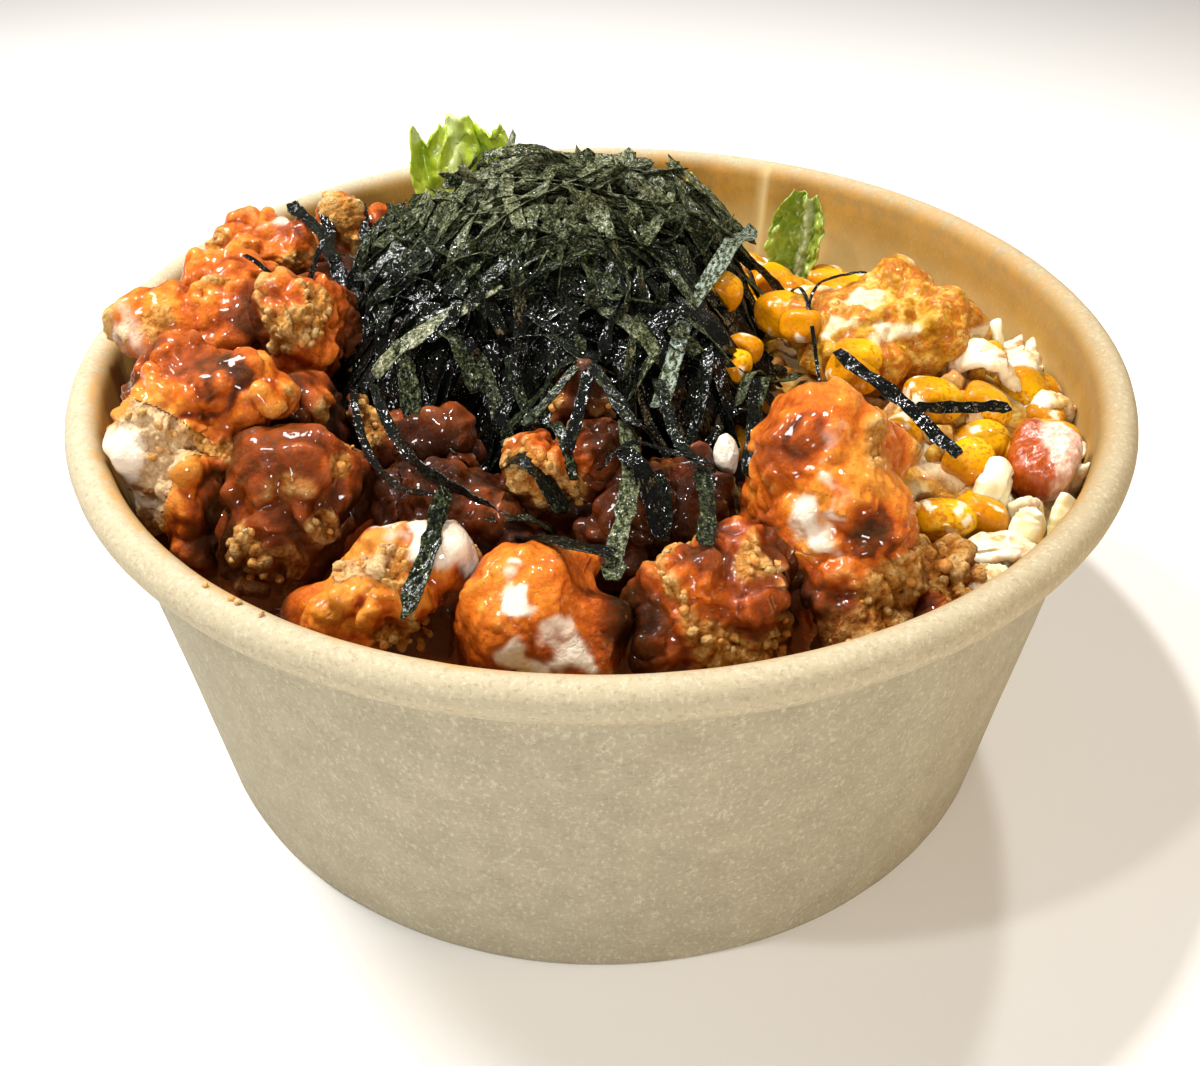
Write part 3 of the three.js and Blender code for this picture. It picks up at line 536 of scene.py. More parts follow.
# Painted warm light: a faint golden tint on the rim at the right and the back, added to the stains.
painted_warm_light = smooth_step(0, 45, x) * smooth_step(55, 58, z) * smooth_step(-20, 30, y)
stain_and_warm_light = np.maximum(stain_and_warm_light, 0.28 * painted_warm_light)
# Painted shade: a darker band low on the rolled rim, where its underside is in shade, and a darker, warmer
# right side of the rim, where the warm light falls.
painted_rim_shade = np.exp(-((z - 56.3) / 0.9) ** 2) * (1 - inside) * smooth_step(-0.4, 0.5, noise(points, 12, 13))
painted_warm_side = smooth_step(25, 68, x) * smooth_step(54, 57, z)
# Painted light: the inner wall is made paler low down, where it lies in shade.
painted_fill_low = inside * smooth_step(58, 47, z)
make_piece("kraft_bowl", points, [quads, caps], kraft_paper(), ["paper_bowl"], {
    "inside": inside, "lap": np.maximum(0.6 * lap_line, 0.3 * painted_fill_low), "stain_and_warm_light": stain_and_warm_light,
    "painted_rim_shade": np.maximum(0.5 * painted_rim_shade, 0.35 * painted_warm_side),
    # The mark bead is a painted highlight on top of the rolled rim.
    "bead": 0.75 * smooth_step(55, 58, z) * (1 - 0.85 * inside)})

# %% [markdown]
# ## Lumps of fried chicken
# Each lump is a bite of chicken in a thick fried coat. A lump is star-shaped: from its heart every
# direction meets its skin once. So its surface is one number, the reach, over a ball of
# directions. A ball of rings would crowd its points at two poles, so it is six square grids bent
# round it, which spreads them evenly. The solid gives the reach, and the crust is added to it.

# %% Balls of directions
def ball_grid(steps):
    """Six grids bent round a ball: the point (1, tan a, tan b) made one long, for a and b from -45
    to 45 degrees, and the same with the axes exchanged. Gives the welded points, the faces, and
    where each grid point went."""
    t = np.tan(np.linspace(-math.pi / 4, math.pi / 4, steps + 1))
    a, b = np.meshgrid(t, t, indexing="ij")
    one = np.ones_like(a)
    sides = [(one, a, b), (-one, b, a), (b, one, a), (a, -one, b), (a, b, one), (b, a, -one)]
    points = np.stack([np.stack(side, -1) for side in sides]).reshape(-1, 3)
    points /= np.linalg.norm(points, axis=1, keepdims=True)
    _, first, where = np.unique(np.round(points, 6), axis=0, return_index=True, return_inverse=True)
    where = where.reshape(6, steps + 1, steps + 1)
    faces = np.stack([where[:, :-1, :-1], where[:, 1:, :-1], where[:, 1:, 1:], where[:, :-1, 1:]], -1)
    return points[first], faces.reshape(-1, 4), where


def settled(values, faces, rounds):
    """Each round moves every value half way to the mean of its neighbours along the edges."""
    start, end = faces.ravel(), np.roll(faces, -1, axis=1).ravel()
    count = np.bincount(start, minlength=len(values))
    for _ in range(rounds):
        values = (values + np.bincount(start, values[end], len(values)) / count) / 2
    return values


COARSE = 20
coarse_ball = ball_grid(COARSE)
print("a coarse ball has", len(coarse_ball[0]), "directions")


# %% The skin of a solid
def reach_of(node, heart, directions):
    """How far each ray from the heart runs to the last triangle of the solid that it meets. A ray
    d meets the triangle a, b, c at the distance t where t d = a + u (b - a) + v (c - a), if u and
    v are nought or more and u + v is one or less."""
    points, triangles = solid_arrays(node)
    first = points[triangles[:, 0]] - heart
    edge_1 = points[triangles[:, 1]] - heart - first
    edge_2 = points[triangles[:, 2]] - heart - first
    crossed = np.cross(directions[:, None], edge_2[None])
    size = (crossed * edge_1).sum(-1)
    size = np.where(np.abs(size) < 1e-12, 1e-12, size)
    u = -(crossed * first).sum(-1) / size
    side = np.cross(-first, edge_1)
    v = directions @ side.T / size
    far = (edge_2 * side).sum(-1) / size
    met = (u > -1e-4) & (v > -1e-4) & (u + v < 1.0002) & (far > 0)
    return np.where(met, far, 0).max(1)


def heart_of(node):
    """The middle of a solid's volume. Each triangle a, b, c and the origin make a tetrahedron. Its
    volume goes as a . (b x c), its middle is (a + b + c) / 4, and the volumes weigh the middles."""
    points, triangles = solid_arrays(node)
    a, b, c = (points[triangles[:, k]] for k in range(3))
    volume = (a * np.cross(b, c)).sum(1)
    return ((a + b + c) / 4 * volume[:, None]).sum(0) / volume.sum()


# %% From coarse to fine
FOOD = [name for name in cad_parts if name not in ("paper_bowl", "rice_bed")]
fine_balls = {}


def to_fine(values, steps):
    """Values on the coarse ball, spread to a fine one by straight lines and evened."""
    directions, faces, where = fine_balls[steps]
    place = np.linspace(0, COARSE, steps + 1)
    weights = np.maximum(1 - np.abs(place[:, None] - np.arange(COARSE + 1)), 0)
    fine = np.zeros(len(directions))
    fine[where.ravel()] = (weights @ values[coarse_ball[2]] @ weights.T).ravel()
    return settled(fine, faces, int(2 + 3 * (steps / COARSE) ** 2))


def base_lump(node, spacing):
    """The solid's skin on a fine ball, and how near each point of it is to the other food: one
    where they touch and nought from a few millimetres away."""
    heart = heart_of(node)
    directions, faces, _ = coarse_ball
    reach = settled(reach_of(node, heart, directions), faces, 3)
    others = tree_of([name for name in FOOD if name != node])
    skin = heart + directions * reach[:, None]
    away = np.array([others.find_nearest(point)[3] for point in skin.tolist()])
    steps = COARSE * max(int(round(reach.mean() * math.pi / 2 / spacing / COARSE)), 1)
    if steps not in fine_balls:
        fine_balls[steps] = ball_grid(steps)
    directions, faces, _ = fine_balls[steps]
    fine = to_fine(reach, steps)
    return heart + directions * fine[:, None], faces, to_fine(smooth_step(4.5, 0.5, away), steps)


print("pieces of food:", len(FOOD))

# %% [markdown]
# ## The crust and the sauce
# Fried batter is craggy: rounded knobs of several sizes with sharp creases between them. It could
# be sculpted by hand, or left to bump in the finish, but then no edge of a lump would show it. The
# size of smooth noise has just that form, so three pitches of it make the crust, and tiny domes
# are added where it is dry. Sauce lies on it in patches. Its level is the crust's own height
# blurred over a few knobs and raised by the film's thickness, so it fills the creases and follows
# the knobs. The meshes carry where the sauce lies and how deep it is, so that the finish can
# colour it.

# %% Relief of the crust
def domes(points, count, small, large, seed, flat):
    """The highest of many domes: each is flat times its radius times (1 - (d / radius)^2)^0.6,
    with d the distance from its middle, after the points are pushed about by noise."""
    random = np.random.default_rng(seed)
    warped = points + 0.35 * large * shifts(points, 0.9 * large, 1, seed)
    order = np.argsort(warped[:, 0])
    warped = warped[order]
    sizes = small + (large - small) * random.random(count) ** 2
    height = np.zeros(len(points))
    for middle, size in zip(warped[random.integers(0, len(points), count)], sizes):
        first, last = np.searchsorted(warped[:, 0], (middle[0] - size, middle[0] + size))
        near = warped[first:last]
        away = ((near - middle) ** 2).sum(1) / size ** 2
        height[first:last] = np.maximum(height[first:last], flat * size * np.maximum(1 - away, 0) ** 0.6)
    found = np.empty(len(points))
    found[order] = height
    return found


def crags(points, pitch, seed):
    """Rounded lumps with sharp creases between them: the size of the noise, at places that other
    noise has pushed about."""
    pushed = points + 0.4 * pitch * shifts(points, 0.8 * pitch, 1, seed + 3)
    return 2 * np.abs(noise(pushed, pitch, seed))


def spots_at(points, spots):
    """Soft spots: each is a place, a radius and a strength, and the strongest at a point counts."""
    value = np.zeros(len(points))
    for x, y, z, size, strength in spots:
        fall = strength * np.exp(-(((points - (x, y, z)) ** 2).sum(1) / size ** 2) ** 2)
        value = np.where(np.abs(fall) > np.abs(value), fall, value)
    return value


print("crags run from 0 to", round(float(crags(sample, 6.5, 1).max()), 1))

# %% Crust, sauce and mayonnaise
LIGHT_BLUR = 2
WIDE_BLUR = 45
SUNK = 0.85


def coated_lump(node, look):
    """A lump with its crust, its sauce and its mayonnaise, and the marks that its finish reads.

    The skin swells by soft noise, with a few long creases, and then moves out along its normal:
    by the crust where it is dry, and by the sauce's level where it is wet. The level is the higher
    of two: the lightly blurred crust under a thin film, and the widely blurred crust under a thick
    one. Mayonnaise lies nearly on the wide blur. SUNK brings it all back onto the solid."""
    spacing, seed = look.get("spacing", 0.32), look["seed"]
    points, faces, near = base_lump(node, spacing)
    area = len(faces) * spacing ** 2
    calm = np.clip(look.get("smooth", 0.0) + spots_at(points, look.get("calm", [])), 0, 1)
    normals = normals_of(points, faces)
    crease = np.exp(-(noise(points, 9, seed + 5) / 0.1) ** 2)
    swell = 1.5 * noise(points, 11, seed) + 0.75 * (1 - 0.8 * calm) * rough(points, 5.5, 2, seed + 1)
    points = points + normals * (swell - 0.8 * crease * (1 - calm))[:, None]
    film = look.get("sauce", 0.1) + 0.75 * noise(points, 8, seed + 50)
    film += 0.2 * np.clip(normals[:, 2], -0.5, 1) + 0.4 * near + spots_at(points, look.get("wet", []))
    large = crags(points, 6.5, seed + 10)
    knobs = 1.2 * large + 0.55 * crags(points, 3.1, seed + 20) * (0.45 + large)
    knobs += 0.45 * crags(points, 1.6, seed + 30)
    crumbly = np.clip(0.2 - film, 0, 0.5) + 0.7 * np.exp(-((film + 0.05) / 0.12) ** 2)
    knobs += crumbly * domes(points, int(area / 1.2), 0.3, 0.8, seed + 40, 0.6)
    crust = knobs * look.get("crust", 1.0) * (1 - 0.8 * calm)
    tight, wide = settled(crust, faces, LIGHT_BLUR), settled(crust, faces, WIDE_BLUR)
    wet = smooth_step(-0.12, 0.1, film - 0.12 * (crust - wide))
    level = np.maximum(tight + 0.12 + 0.2 * film, wide - 0.5 + 0.8 * film)
    pushed = points + 3.0 * shifts(points, 6, 3, seed + 60)
    mayo = smooth_step(0.08, 0.9, spots_at(pushed, look.get("mayo", [])))
    height = crust * (1 - wet) + level * wet
    height = height * (1 - mayo) + (0.15 * tight + 0.85 * wide + 0.3) * mayo
    points = points + normals_of(points, faces) * (height - SUNK)[:, None]
    tone = look.get("tone", 0.3) + 0.3 * noise(points, 9, seed + 70) + spots_at(points, look.get("dark", []))
    # Painted shade: the tone grows near other food and low down, which darkens the colour in the gaps and at
    # the bottom.
    tone += 0.55 * near + 0.5 * smooth_step(60, 48, points[:, 2])
    return inside_wall(points), faces, {"depth": level - tight, "wet": wet, "crust": crust - wide,
                                        "mayo": mayo, "tone": tone}


# %% Glazed crust
def glazed_crust():
    """Golden batter under a red-orange sauce that darkens with its depth and with painted shade, with
    mayonnaise on it.
    """
    finish = Finish("glazed_crust")
    depth, tone, mayo = finish.read("depth"), finish.read("tone"), finish.read("mayo")
    grain = finish.speckle(1.1, 5, 0.7)
    fine = finish.speckle(0.4, 4, 0.7)
    tips = finish.plus(finish.times(finish.read("crust"), 0.3), grain)
    batter = finish.ramp(tips, (0.15, "#6d330c"), (0.36, "#ad6722"), (0.54, "#d09448"),
                         (0.75, "#e6bd7a"), (1.0, "#f4dda6"))
    batter = finish.mix(finish.range(fine, 0.5, 0.72, 0, 0.45), batter, "#a45c22")
    batter = finish.mix(finish.range(tone, -0.15, -0.6, 0, 0.75), batter, "#f0cea0")
    # The tone carries painted shade near other food and low down, so the batter and the sauce darken there.
    batter = finish.mix(finish.range(tone, 0.4, 1.1, 0, 0.8), batter, "#5a220a")
    deep = finish.times(depth, 0.8)
    deep = finish.plus(deep, finish.times(tone, 0.7))
    deep = finish.plus(deep, finish.times(finish.minus(grain, 0.5), 0.55))
    deep = finish.minus(deep, finish.times(finish.read("crust"), 0.22))
    sauce = finish.ramp(deep, (0.0, "#cf7f26"), (0.13, "#c25e12"), (0.26, "#a64507"), (0.42, "#7c2a03"),
                        (0.6, "#4e1602"), (0.88, "#200701"))
    flecks = finish.range(finish.cells(1.0), 0.08, 0.16, 0.6, 0)
    sauce = finish.mix(flecks, sauce, "#6a1c08")
    sauce = finish.mix(finish.range(fine, 0.54, 0.7, 0, 0.4), sauce, "#7c2a06")
    wet = finish.read("wet")
    colour = finish.mix(finish.times(wet, 0.92), batter, sauce)
    cream = finish.ramp(grain, (0.25, "#dcb88c"), (0.42, "#e9dcc8"))
    colour = finish.mix(finish.times(mayo, 0.95), colour, cream)
    finish.set(Base_Color=colour, Roughness=finish.range(wet, 0, 1, 0.6, 0.4))
    moist = finish.larger(wet, mayo)
    finish.set(Coat_Weight=finish.range(moist, 0, 1, 0.0, 0.9), Coat_Roughness=0.03)
    finish.set(Coat_IOR=1.3, Specular_IOR_Level=0.06)
    finish.set(Subsurface_Weight=0.05, Subsurface_Radius=(1.0, 0.35, 0.15), Subsurface_Scale=0.0015)
    dry = finish.range(moist, 0, 1, 1, 0.25)
    crumbs = finish.cells(0.7)
    finish.bump((finish.times(grain, dry), 0.9, 0.9), (finish.times(fine, dry), 0.5, 0.9),
                (finish.times(crumbs, dry), -0.4, 0.8))
    finish.coat_bump(finish.speckle(2.2, 1.5, 0.4), 0.35, 0.7)
    return finish.material


CRUST = glazed_crust()
print("the crust's finish has", len(CRUST.node_tree.nodes), "nodes")

# %% Make the lumps
# "sauce" is the film's thickness, "tone" how dark it is, "smooth" how calm the crust is all over,
# "crust" scales the knobs and "spacing" is the way between two points in millimetres.
# Each spot is x, y, z, its radius and its strength. Mayonnaise lies on the spots "mayo", sauce is
# thicker on "wet", the crust is smoother on "calm" and the colour deeper on "dark". A strength
# below nought does the opposite.
CHICKEN_LOOKS = {
    "chicken_tan_left": {"seed": 101, "sauce": 0.0, "tone": 0.0,
                         "mayo": [(-60.3, -31, 62.4, 2.8, 1.1), (-61, -33, 59, 3.0, 1.2),
                                  (-60.5, -35.5, 56, 3.2, 1.1)],
                         "wet": [(-51.7, -34.6, 57, 5, 0.9), (-49.5, -23, 69, 9, 0.7),
                                 (-57, -32, 60, 7, -0.9), (-62, -22, 66, 2.5, 0.9),
                                 (-58, -19, 69, 2.5, 0.9)],
                         "calm": [(-62, -29, 58, 7, 0.6), (-51.7, -33.6, 55, 3.5, 0.9),
                                  (-52, -22, 70, 4, 0.7)],
                         "dark": [(-52, -20, 70, 6, 0.25), (-60, -31, 59, 10, -0.8),
                                  (-62, -22, 66, 3, 0.5), (-58, -19, 69, 3, 0.45)]},
    "chicken_upper_left": {"seed": 102, "sauce": 0.2, "tone": 0.0, "smooth": 0.3,
                           "mayo": [(-66, -7, 66, 3.5, 0.6), (-64, -10, 63, 2.5, 0.5)]},
    "chicken_dark_left": {"seed": 103, "sauce": 0.35, "tone": 0.52, "smooth": 0.5,
                          "wet": [(-44.5, -41.5, 53, 3.5, -1.0), (-39, -42, 52, 3.0, -0.9),
                                  (-34.5, -39, 55.5, 2.6, -0.8), (-33, -34, 61, 2.4, -0.7)],
                          "calm": [(-42, -42, 52, 6, -0.5), (-34, -38, 57, 4, -0.5)]},
    "chicken_mid_left": {"seed": 104, "sauce": 0.1, "tone": 0.3, "smooth": 0.2},
    "chicken_upper_right": {"seed": 105, "sauce": 0.15, "tone": 0.2},
    "chicken_left_back": {"seed": 106, "sauce": 0.1, "tone": -0.05, "smooth": 0.3,
                          "mayo": [(-50, 26, 68, 3.0, 0.65)]},
    "chicken_inner_left": {"seed": 107, "sauce": 0.2, "tone": 0.5},
    "chicken_back_nub": {"seed": 108, "sauce": 0.1, "tone": 0.1},
    "chicken_knob": {"seed": 109, "sauce": -0.1, "tone": 0.35, "smooth": 0.3},
    "chicken_front_small": {"seed": 110, "sauce": -0.2, "tone": -0.25, "spacing": 0.27,
                            "mayo": [(-17.3, -49, 60.3, 2.9, 1.2), (-20, -46.5, 61.8, 2.6, 1.2),
                                     (-25, -47, 61, 1.8, 0.8)],
                            "wet": [(-28, -44.5, 59, 5, 1.5), (-36.3, -50, 53, 6, 1.4),
                                    (-27, -55, 56, 3, 0.9), (-30, -58, 51, 4, 0.9)],
                            "calm": [(-36.3, -50, 53, 5, 0.8), (-28, -44.5, 59, 4, 0.8)]},
    "chicken_front_centre": {"seed": 111, "sauce": 0.4, "tone": -0.25, "smooth": 0.8, "spacing": 0.27,
                             "mayo": [(-9.5, -57, 57.8, 2.6, 1.2), (-9.6, -55.3, 60, 1.6, 1.0),
                                      (-4, -58.3, 55.5, 2.2, 0.7), (-3.1, -60.6, 52, 3.0, 1.2),
                                      (-8.5, -60.5, 51.3, 2.8, 1.0)],
                             "wet": [(1, -51, 58, 6, 0.5)], "dark": [(3, -55, 54, 4, 0.35)]},
    "chicken_front_right": {"seed": 112, "sauce": 0.1, "tone": 0.12, "smooth": 0.3, "spacing": 0.27,
                            "dark": [(19, -50, 55, 5, 0.5)]},
    "chicken_nugget": {"seed": 113, "sauce": 0.1, "tone": 0.55},
    "chicken_big_right": {"seed": 114, "sauce": 0.22, "tone": -0.12, "smooth": 0.5, "spacing": 0.27,
                          "mayo": [(24, -47.5, 62, 2.7, 1.0), (27.5, -45.5, 67, 1.6, 0.5),
                                   (27, -47.5, 64.5, 1.4, 0.6), (28, -42, 70, 1.6, 0.35)],
                          "wet": [(22, -36, 68, 7, 0.5), (31, -48, 61, 4, 0.7), (33, -51, 53, 9, -0.55)],
                          "calm": [(32, -51, 52, 10, -0.65), (22, -54, 50, 8, -0.65)],
                          "dark": [(30.5, -48.5, 62, 3.0, 0.55), (22, -41, 67, 4, 0.3),
                                   (26, -53, 52, 7, 0.6), (34, -51, 54, 6, 0.25)]},
    "chicken_crumbs_right": {"seed": 115, "sauce": -0.7, "tone": -0.3, "crust": 1.2, "spacing": 0.25},
    "chicken_centre": {"seed": 116, "sauce": -0.15, "tone": 0.2, "dark": [(2, -29, 61, 5, 0.3)]},
    # The pieces under the heap and deep between the others have a high tone, partly as painted shade for the
    # shade there.
    "chicken_under_left": {"seed": 117, "sauce": 0.25, "tone": 0.75},
    "chicken_under_right": {"seed": 118, "sauce": 0.25, "tone": 0.7},
    "chicken_centre_back": {"seed": 119, "sauce": -0.1, "tone": 0.6},
    "chicken_centre_left": {"seed": 120, "sauce": 0.15, "tone": 0.75},
}
CRUMBS_A_PIECE = 70
POINTS_A_CRUMB = 60
LOWEST_CRUMB = 48
CRUMB_MARGIN = 1.3
random = np.random.default_rng(130)
crumb_places = []
for node, look in CHICKEN_LOOKS.items():
    points, faces, marks = coated_lump(node, look)
    make_piece(node.replace("chicken", "fried"), points, faces, CRUST, [node], marks)
    free = (inside_wall(points, CRUMB_MARGIN) == points).all(1)
    dry = (marks["wet"] < 0.5) & (marks["mayo"] < 0.2) & (points[:, 2] > LOWEST_CRUMB) & free
    count = min(dry.sum() // POINTS_A_CRUMB, CRUMBS_A_PIECE)
    crumb_places.append(points[random.choice(np.flatnonzero(dry), count, replace=False)])

points, faces, marks = coated_lump("mayonnaise_nub", {
    "seed": 121, "sauce": 0.3, "tone": 0.1, "smooth": 1.0, "spacing": 0.2,
    "mayo": [(15, -31, 61, 9, 1.4)]})
make_piece("mayonnaise_drop", points, faces, CRUST, ["mayonnaise_nub"], marks)

# %% [markdown]
# ## Sauce between the pieces
# More sauce has run off the chicken and stands in the gaps. It could be poured by a simulation of
# fluids, but only its top shows, so it is one thin sheet over a grid in the plan. Its level is the
# food's own height, blurred over a few millimetres and lowered, so it comes up in narrow gaps and
# stays low in wide ones, and it hides inside the food elsewhere.

# %% Blurred grids and closed sheets
def blurred(grid, rounds):
    """Each round replaces every value by the mean of itself and its four neighbours."""
    for _ in range(rounds):
        wide = np.pad(grid, 1, mode="edge")
        grid = (grid + wide[:-2, 1:-1] + wide[2:, 1:-1] + wide[1:-1, :-2] + wide[1:-1, 2:]) / 5
    return grid


def closed_sheets(sheets, thickness):
    """Grids given a thickness: each point p becomes p plus and p less half the thickness times the
    normal, and a band of faces shuts the rim."""
    normal = np.cross(np.gradient(sheets, axis=1), np.gradient(sheets, axis=2))
    normal /= np.maximum(np.linalg.norm(normal, axis=-1, keepdims=True), 1e-9)
    half = normal * thickness[..., None] / 2
    both = np.stack([sheets + half, sheets - half], 1)
    count, _, rows, columns, _ = both.shape
    index = np.arange(count * 2 * rows * columns).reshape(count, 2, rows, columns)
    top, bottom = index[:, 0], index[:, 1]
    upper = np.stack([top[:, :-1, :-1], top[:, 1:, :-1], top[:, 1:, 1:], top[:, :-1, 1:]], -1)
    lower = np.stack([bottom[:, :-1, :-1], bottom[:, :-1, 1:], bottom[:, 1:, 1:], bottom[:, 1:, :-1]], -1)
    ring_top = np.concatenate([top[:, :-1, 0], top[:, -1, :-1], top[:, :0:-1, -1], top[:, 0, :0:-1]], 1)
    ring_low = np.concatenate([bottom[:, :-1, 0], bottom[:, -1, :-1], bottom[:, :0:-1, -1],
                               bottom[:, 0, :0:-1]], 1)
    rim = np.stack([ring_top, ring_low, np.roll(ring_low, -1, 1), np.roll(ring_top, -1, 1)], -1)
    return both.reshape(-1, 3), np.concatenate([part.reshape(-1, 4) for part in (upper, lower, rim)])


print("one round leaves", float(blurred(np.pad([[1.0]], 1), 1)[1, 1]), "of a lone peak")


# %% Pool the sauce
POOL_STEP = 0.8
POOL_X = np.arange(-60, 40, POOL_STEP)
POOL_Y = np.arange(-62, 2, POOL_STEP)
POOL_FLOOR = 44
HIGHEST_SHORE = 58
POOL_ROUNDS = 14
POOL_DROP = 3.5
POOL_LEVELS = (44.5, 54)
POOL_THICKNESS = 0.8
chicken_tree = tree_of([name for name in FOOD if name.startswith("chicken")])
plan = np.stack(np.meshgrid(POOL_X, POOL_Y, indexing="ij"), -1)
tops = heights_under(chicken_tree, plan.reshape(-1, 2), POOL_FLOOR).reshape(plan.shape[:2])
level = np.clip(blurred(np.minimum(tops, HIGHEST_SHORE), POOL_ROUNDS) - POOL_DROP, *POOL_LEVELS)
flat = np.column_stack([plan.reshape(-1, 2), np.zeros(level.size)])
level += 0.8 * rough(flat, 4, 3, 150).reshape(level.shape)
sheet = np.concatenate([plan, level[..., None]], -1)
points, faces = closed_sheets(sheet[None], np.full((1,) + level.shape, POOL_THICKNESS))
size = len(points)
make_piece("sauce_pool", inside_wall(points, 0.5), faces, CRUST, [], {
    "depth": np.full(size, 0.3), "wet": np.ones(size), "crust": np.zeros(size), "mayo": np.zeros(size),
    "tone": 0.5 + 0.35 * noise(points, 5, 151)})

# %% [markdown]
# ## The rice
# The rice lies under everything and shows only in the gaps and at the back. Its core is the
# solid's own skin, and loose grains lie on it where nothing covers it. They could be instances of
# one grain, but as one mesh they can be pressed flat where they meet the wall. A grain is a small
# ball drawn out along one axis: one array of grains times one array of points makes them all at
# once.

# %% Small balls and many copies
def ring_quads(index):
    """The quads between rows of point numbers, where each row is closed into a ring."""
    here, ahead = index[..., :-1, :], index[..., 1:, :]
    quads = np.stack([here, ahead, np.roll(ahead, -1, -1), np.roll(here, -1, -1)], -1)
    return quads.reshape(-1, 4)


def small_ball(rings, sides):
    """A ball of few faces: latitude rings of points and one point at each end of the x axis."""
    bend = np.linspace(0, math.pi, rings + 2)[1:-1]
    turn = np.linspace(0, 2 * math.pi, sides, endpoint=False)
    grid = np.stack([np.repeat(np.cos(bend)[:, None], sides, 1), np.sin(bend)[:, None] * np.cos(turn),
                     np.sin(bend)[:, None] * np.sin(turn)], -1).reshape(-1, 3)
    points = np.concatenate([grid, [[1, 0, 0], [-1, 0, 0]]])
    index = np.arange(rings * sides).reshape(rings, sides)
    beside = np.roll(index, -1, axis=1)
    end = rings * sides
    caps = np.concatenate([np.stack([np.full(sides, end), index[0], beside[0]], 1),
                           np.stack([np.full(sides, end + 1), beside[-1], index[-1]], 1)])
    return points, ring_quads(index), caps


def random_turns(random, count, lean):
    """Random turns about the vertical with a lean, as one 3 by 3 array for each thing."""
    spin = random.uniform(0, 2 * math.pi, count)
    tip = random.normal(0, lean, count)
    roll = random.uniform(0, 2 * math.pi, count)
    cs, ct, cr = np.cos([spin, tip, roll])
    ss, st, sr = np.sin([spin, tip, roll])
    rows = [[cs * ct, cs * st * sr - ss * cr, cs * st * cr + ss * sr],
            [ss * ct, ss * st * sr + cs * cr, ss * st * cr - cs * sr],
            [-st, ct * sr, ct * cr]]
    return np.array(rows).transpose(2, 0, 1)


def copies(shape, turned, places):
    """One mesh of many copies: each has its own points, which are turned and moved to its place."""
    points, *groups = shape
    moved = np.einsum("nij,nkj->nki", turned, points) + places[:, None]
    step = np.arange(len(places))[:, None, None] * moved.shape[1]
    return moved.reshape(-1, 3), [(group[None] + step).reshape(-1, group.shape[1]) for group in groups]


ball, *ball_faces = small_ball(4, 6)
print("a grain has", len(ball), "points")


# %% Sticky rice
def sticky_rice():
    """Moist white grains that let some light in, dark brown where sauce has soaked in and where shade is
    painted.
    """
    finish = Finish("sticky_rice")
    colour = finish.ramp(finish.speckle(2.5, 2), (0.3, "#e4d9bd"), (0.7, "#f6f0de"))
    colour = finish.mix(finish.read("sauce_and_shade"), colour, "#4a1c08")
    finish.set(Base_Color=colour, Roughness=0.35, Specular_IOR_Level=0.2)
    finish.set(Subsurface_Weight=0.1, Subsurface_Radius=(1.0, 0.8, 0.6), Subsurface_Scale=0.0015)
    return finish.material


def sauce_and_shade_at(points):
    """Where the rice is darkened: sauce has run down into it at the front and the left, by the chicken,
    and the same dark brown paints the shade in the gaps there.
    """
    pale_side = 0.25 * points[:, 0] + 1.4 * np.maximum(points[:, 0] - 30, 0)
    return smooth_step(12, -12, points[:, 1] + pale_side + 6 * noise(points, 12, 8))


RICE = sticky_rice()

# %% Scatter the grains
GRAIN = (3.0, 1.15, 1.05)
GRAIN_TRIES = 9000
RICE_REACH = 66.5
RICE_FLOOR = 44
random = np.random.default_rng(210)
rice_tree = tree_of(["rice_bed"])
food_tree = tree_of(FOOD)
radius = RICE_REACH * np.sqrt(random.random(GRAIN_TRIES))
angle = random.uniform(0, 2 * math.pi, GRAIN_TRIES)
places = np.stack([radius * np.cos(angle), radius * np.sin(angle)], 1)
open_to_sky = heights_under(food_tree, places, 0) < 1
places = places[open_to_sky]
heights = heights_under(rice_tree, places, RICE_FLOOR) + random.uniform(0.2, 1.4, len(places))
places = np.column_stack([places, heights])
shape = (ball * GRAIN * random.uniform(0.85, 1.1, (len(places), 1, 1)), *ball_faces)
points, faces = copies(shape, random_turns(random, len(places), 0.35), places)
points = inside_wall(points)
make_piece("rice_grains", points, faces, RICE, [], {"sauce_and_shade": sauce_and_shade_at(points)})
points, faces = solid_arrays("rice_bed")
points, where = np.unique(np.round(points, 4), axis=0, return_inverse=True)
make_piece("rice_core", points, where.reshape(-1)[faces], RICE, ["rice_bed"],
           {"sauce_and_shade": sauce_and_shade_at(points)})

# %% [markdown]
# ## Crumbs
# Small flakes break off the batter and stay on it, and a few have fallen on the rim. They are
# copies of one small ball, each pressed to its own size and pushed out of shape by noise. Bump in
# the finish would leave the outline smooth. Apart from those on the rim they lie only on dry
# batter, since sauce would cover them, and well inside the wall.

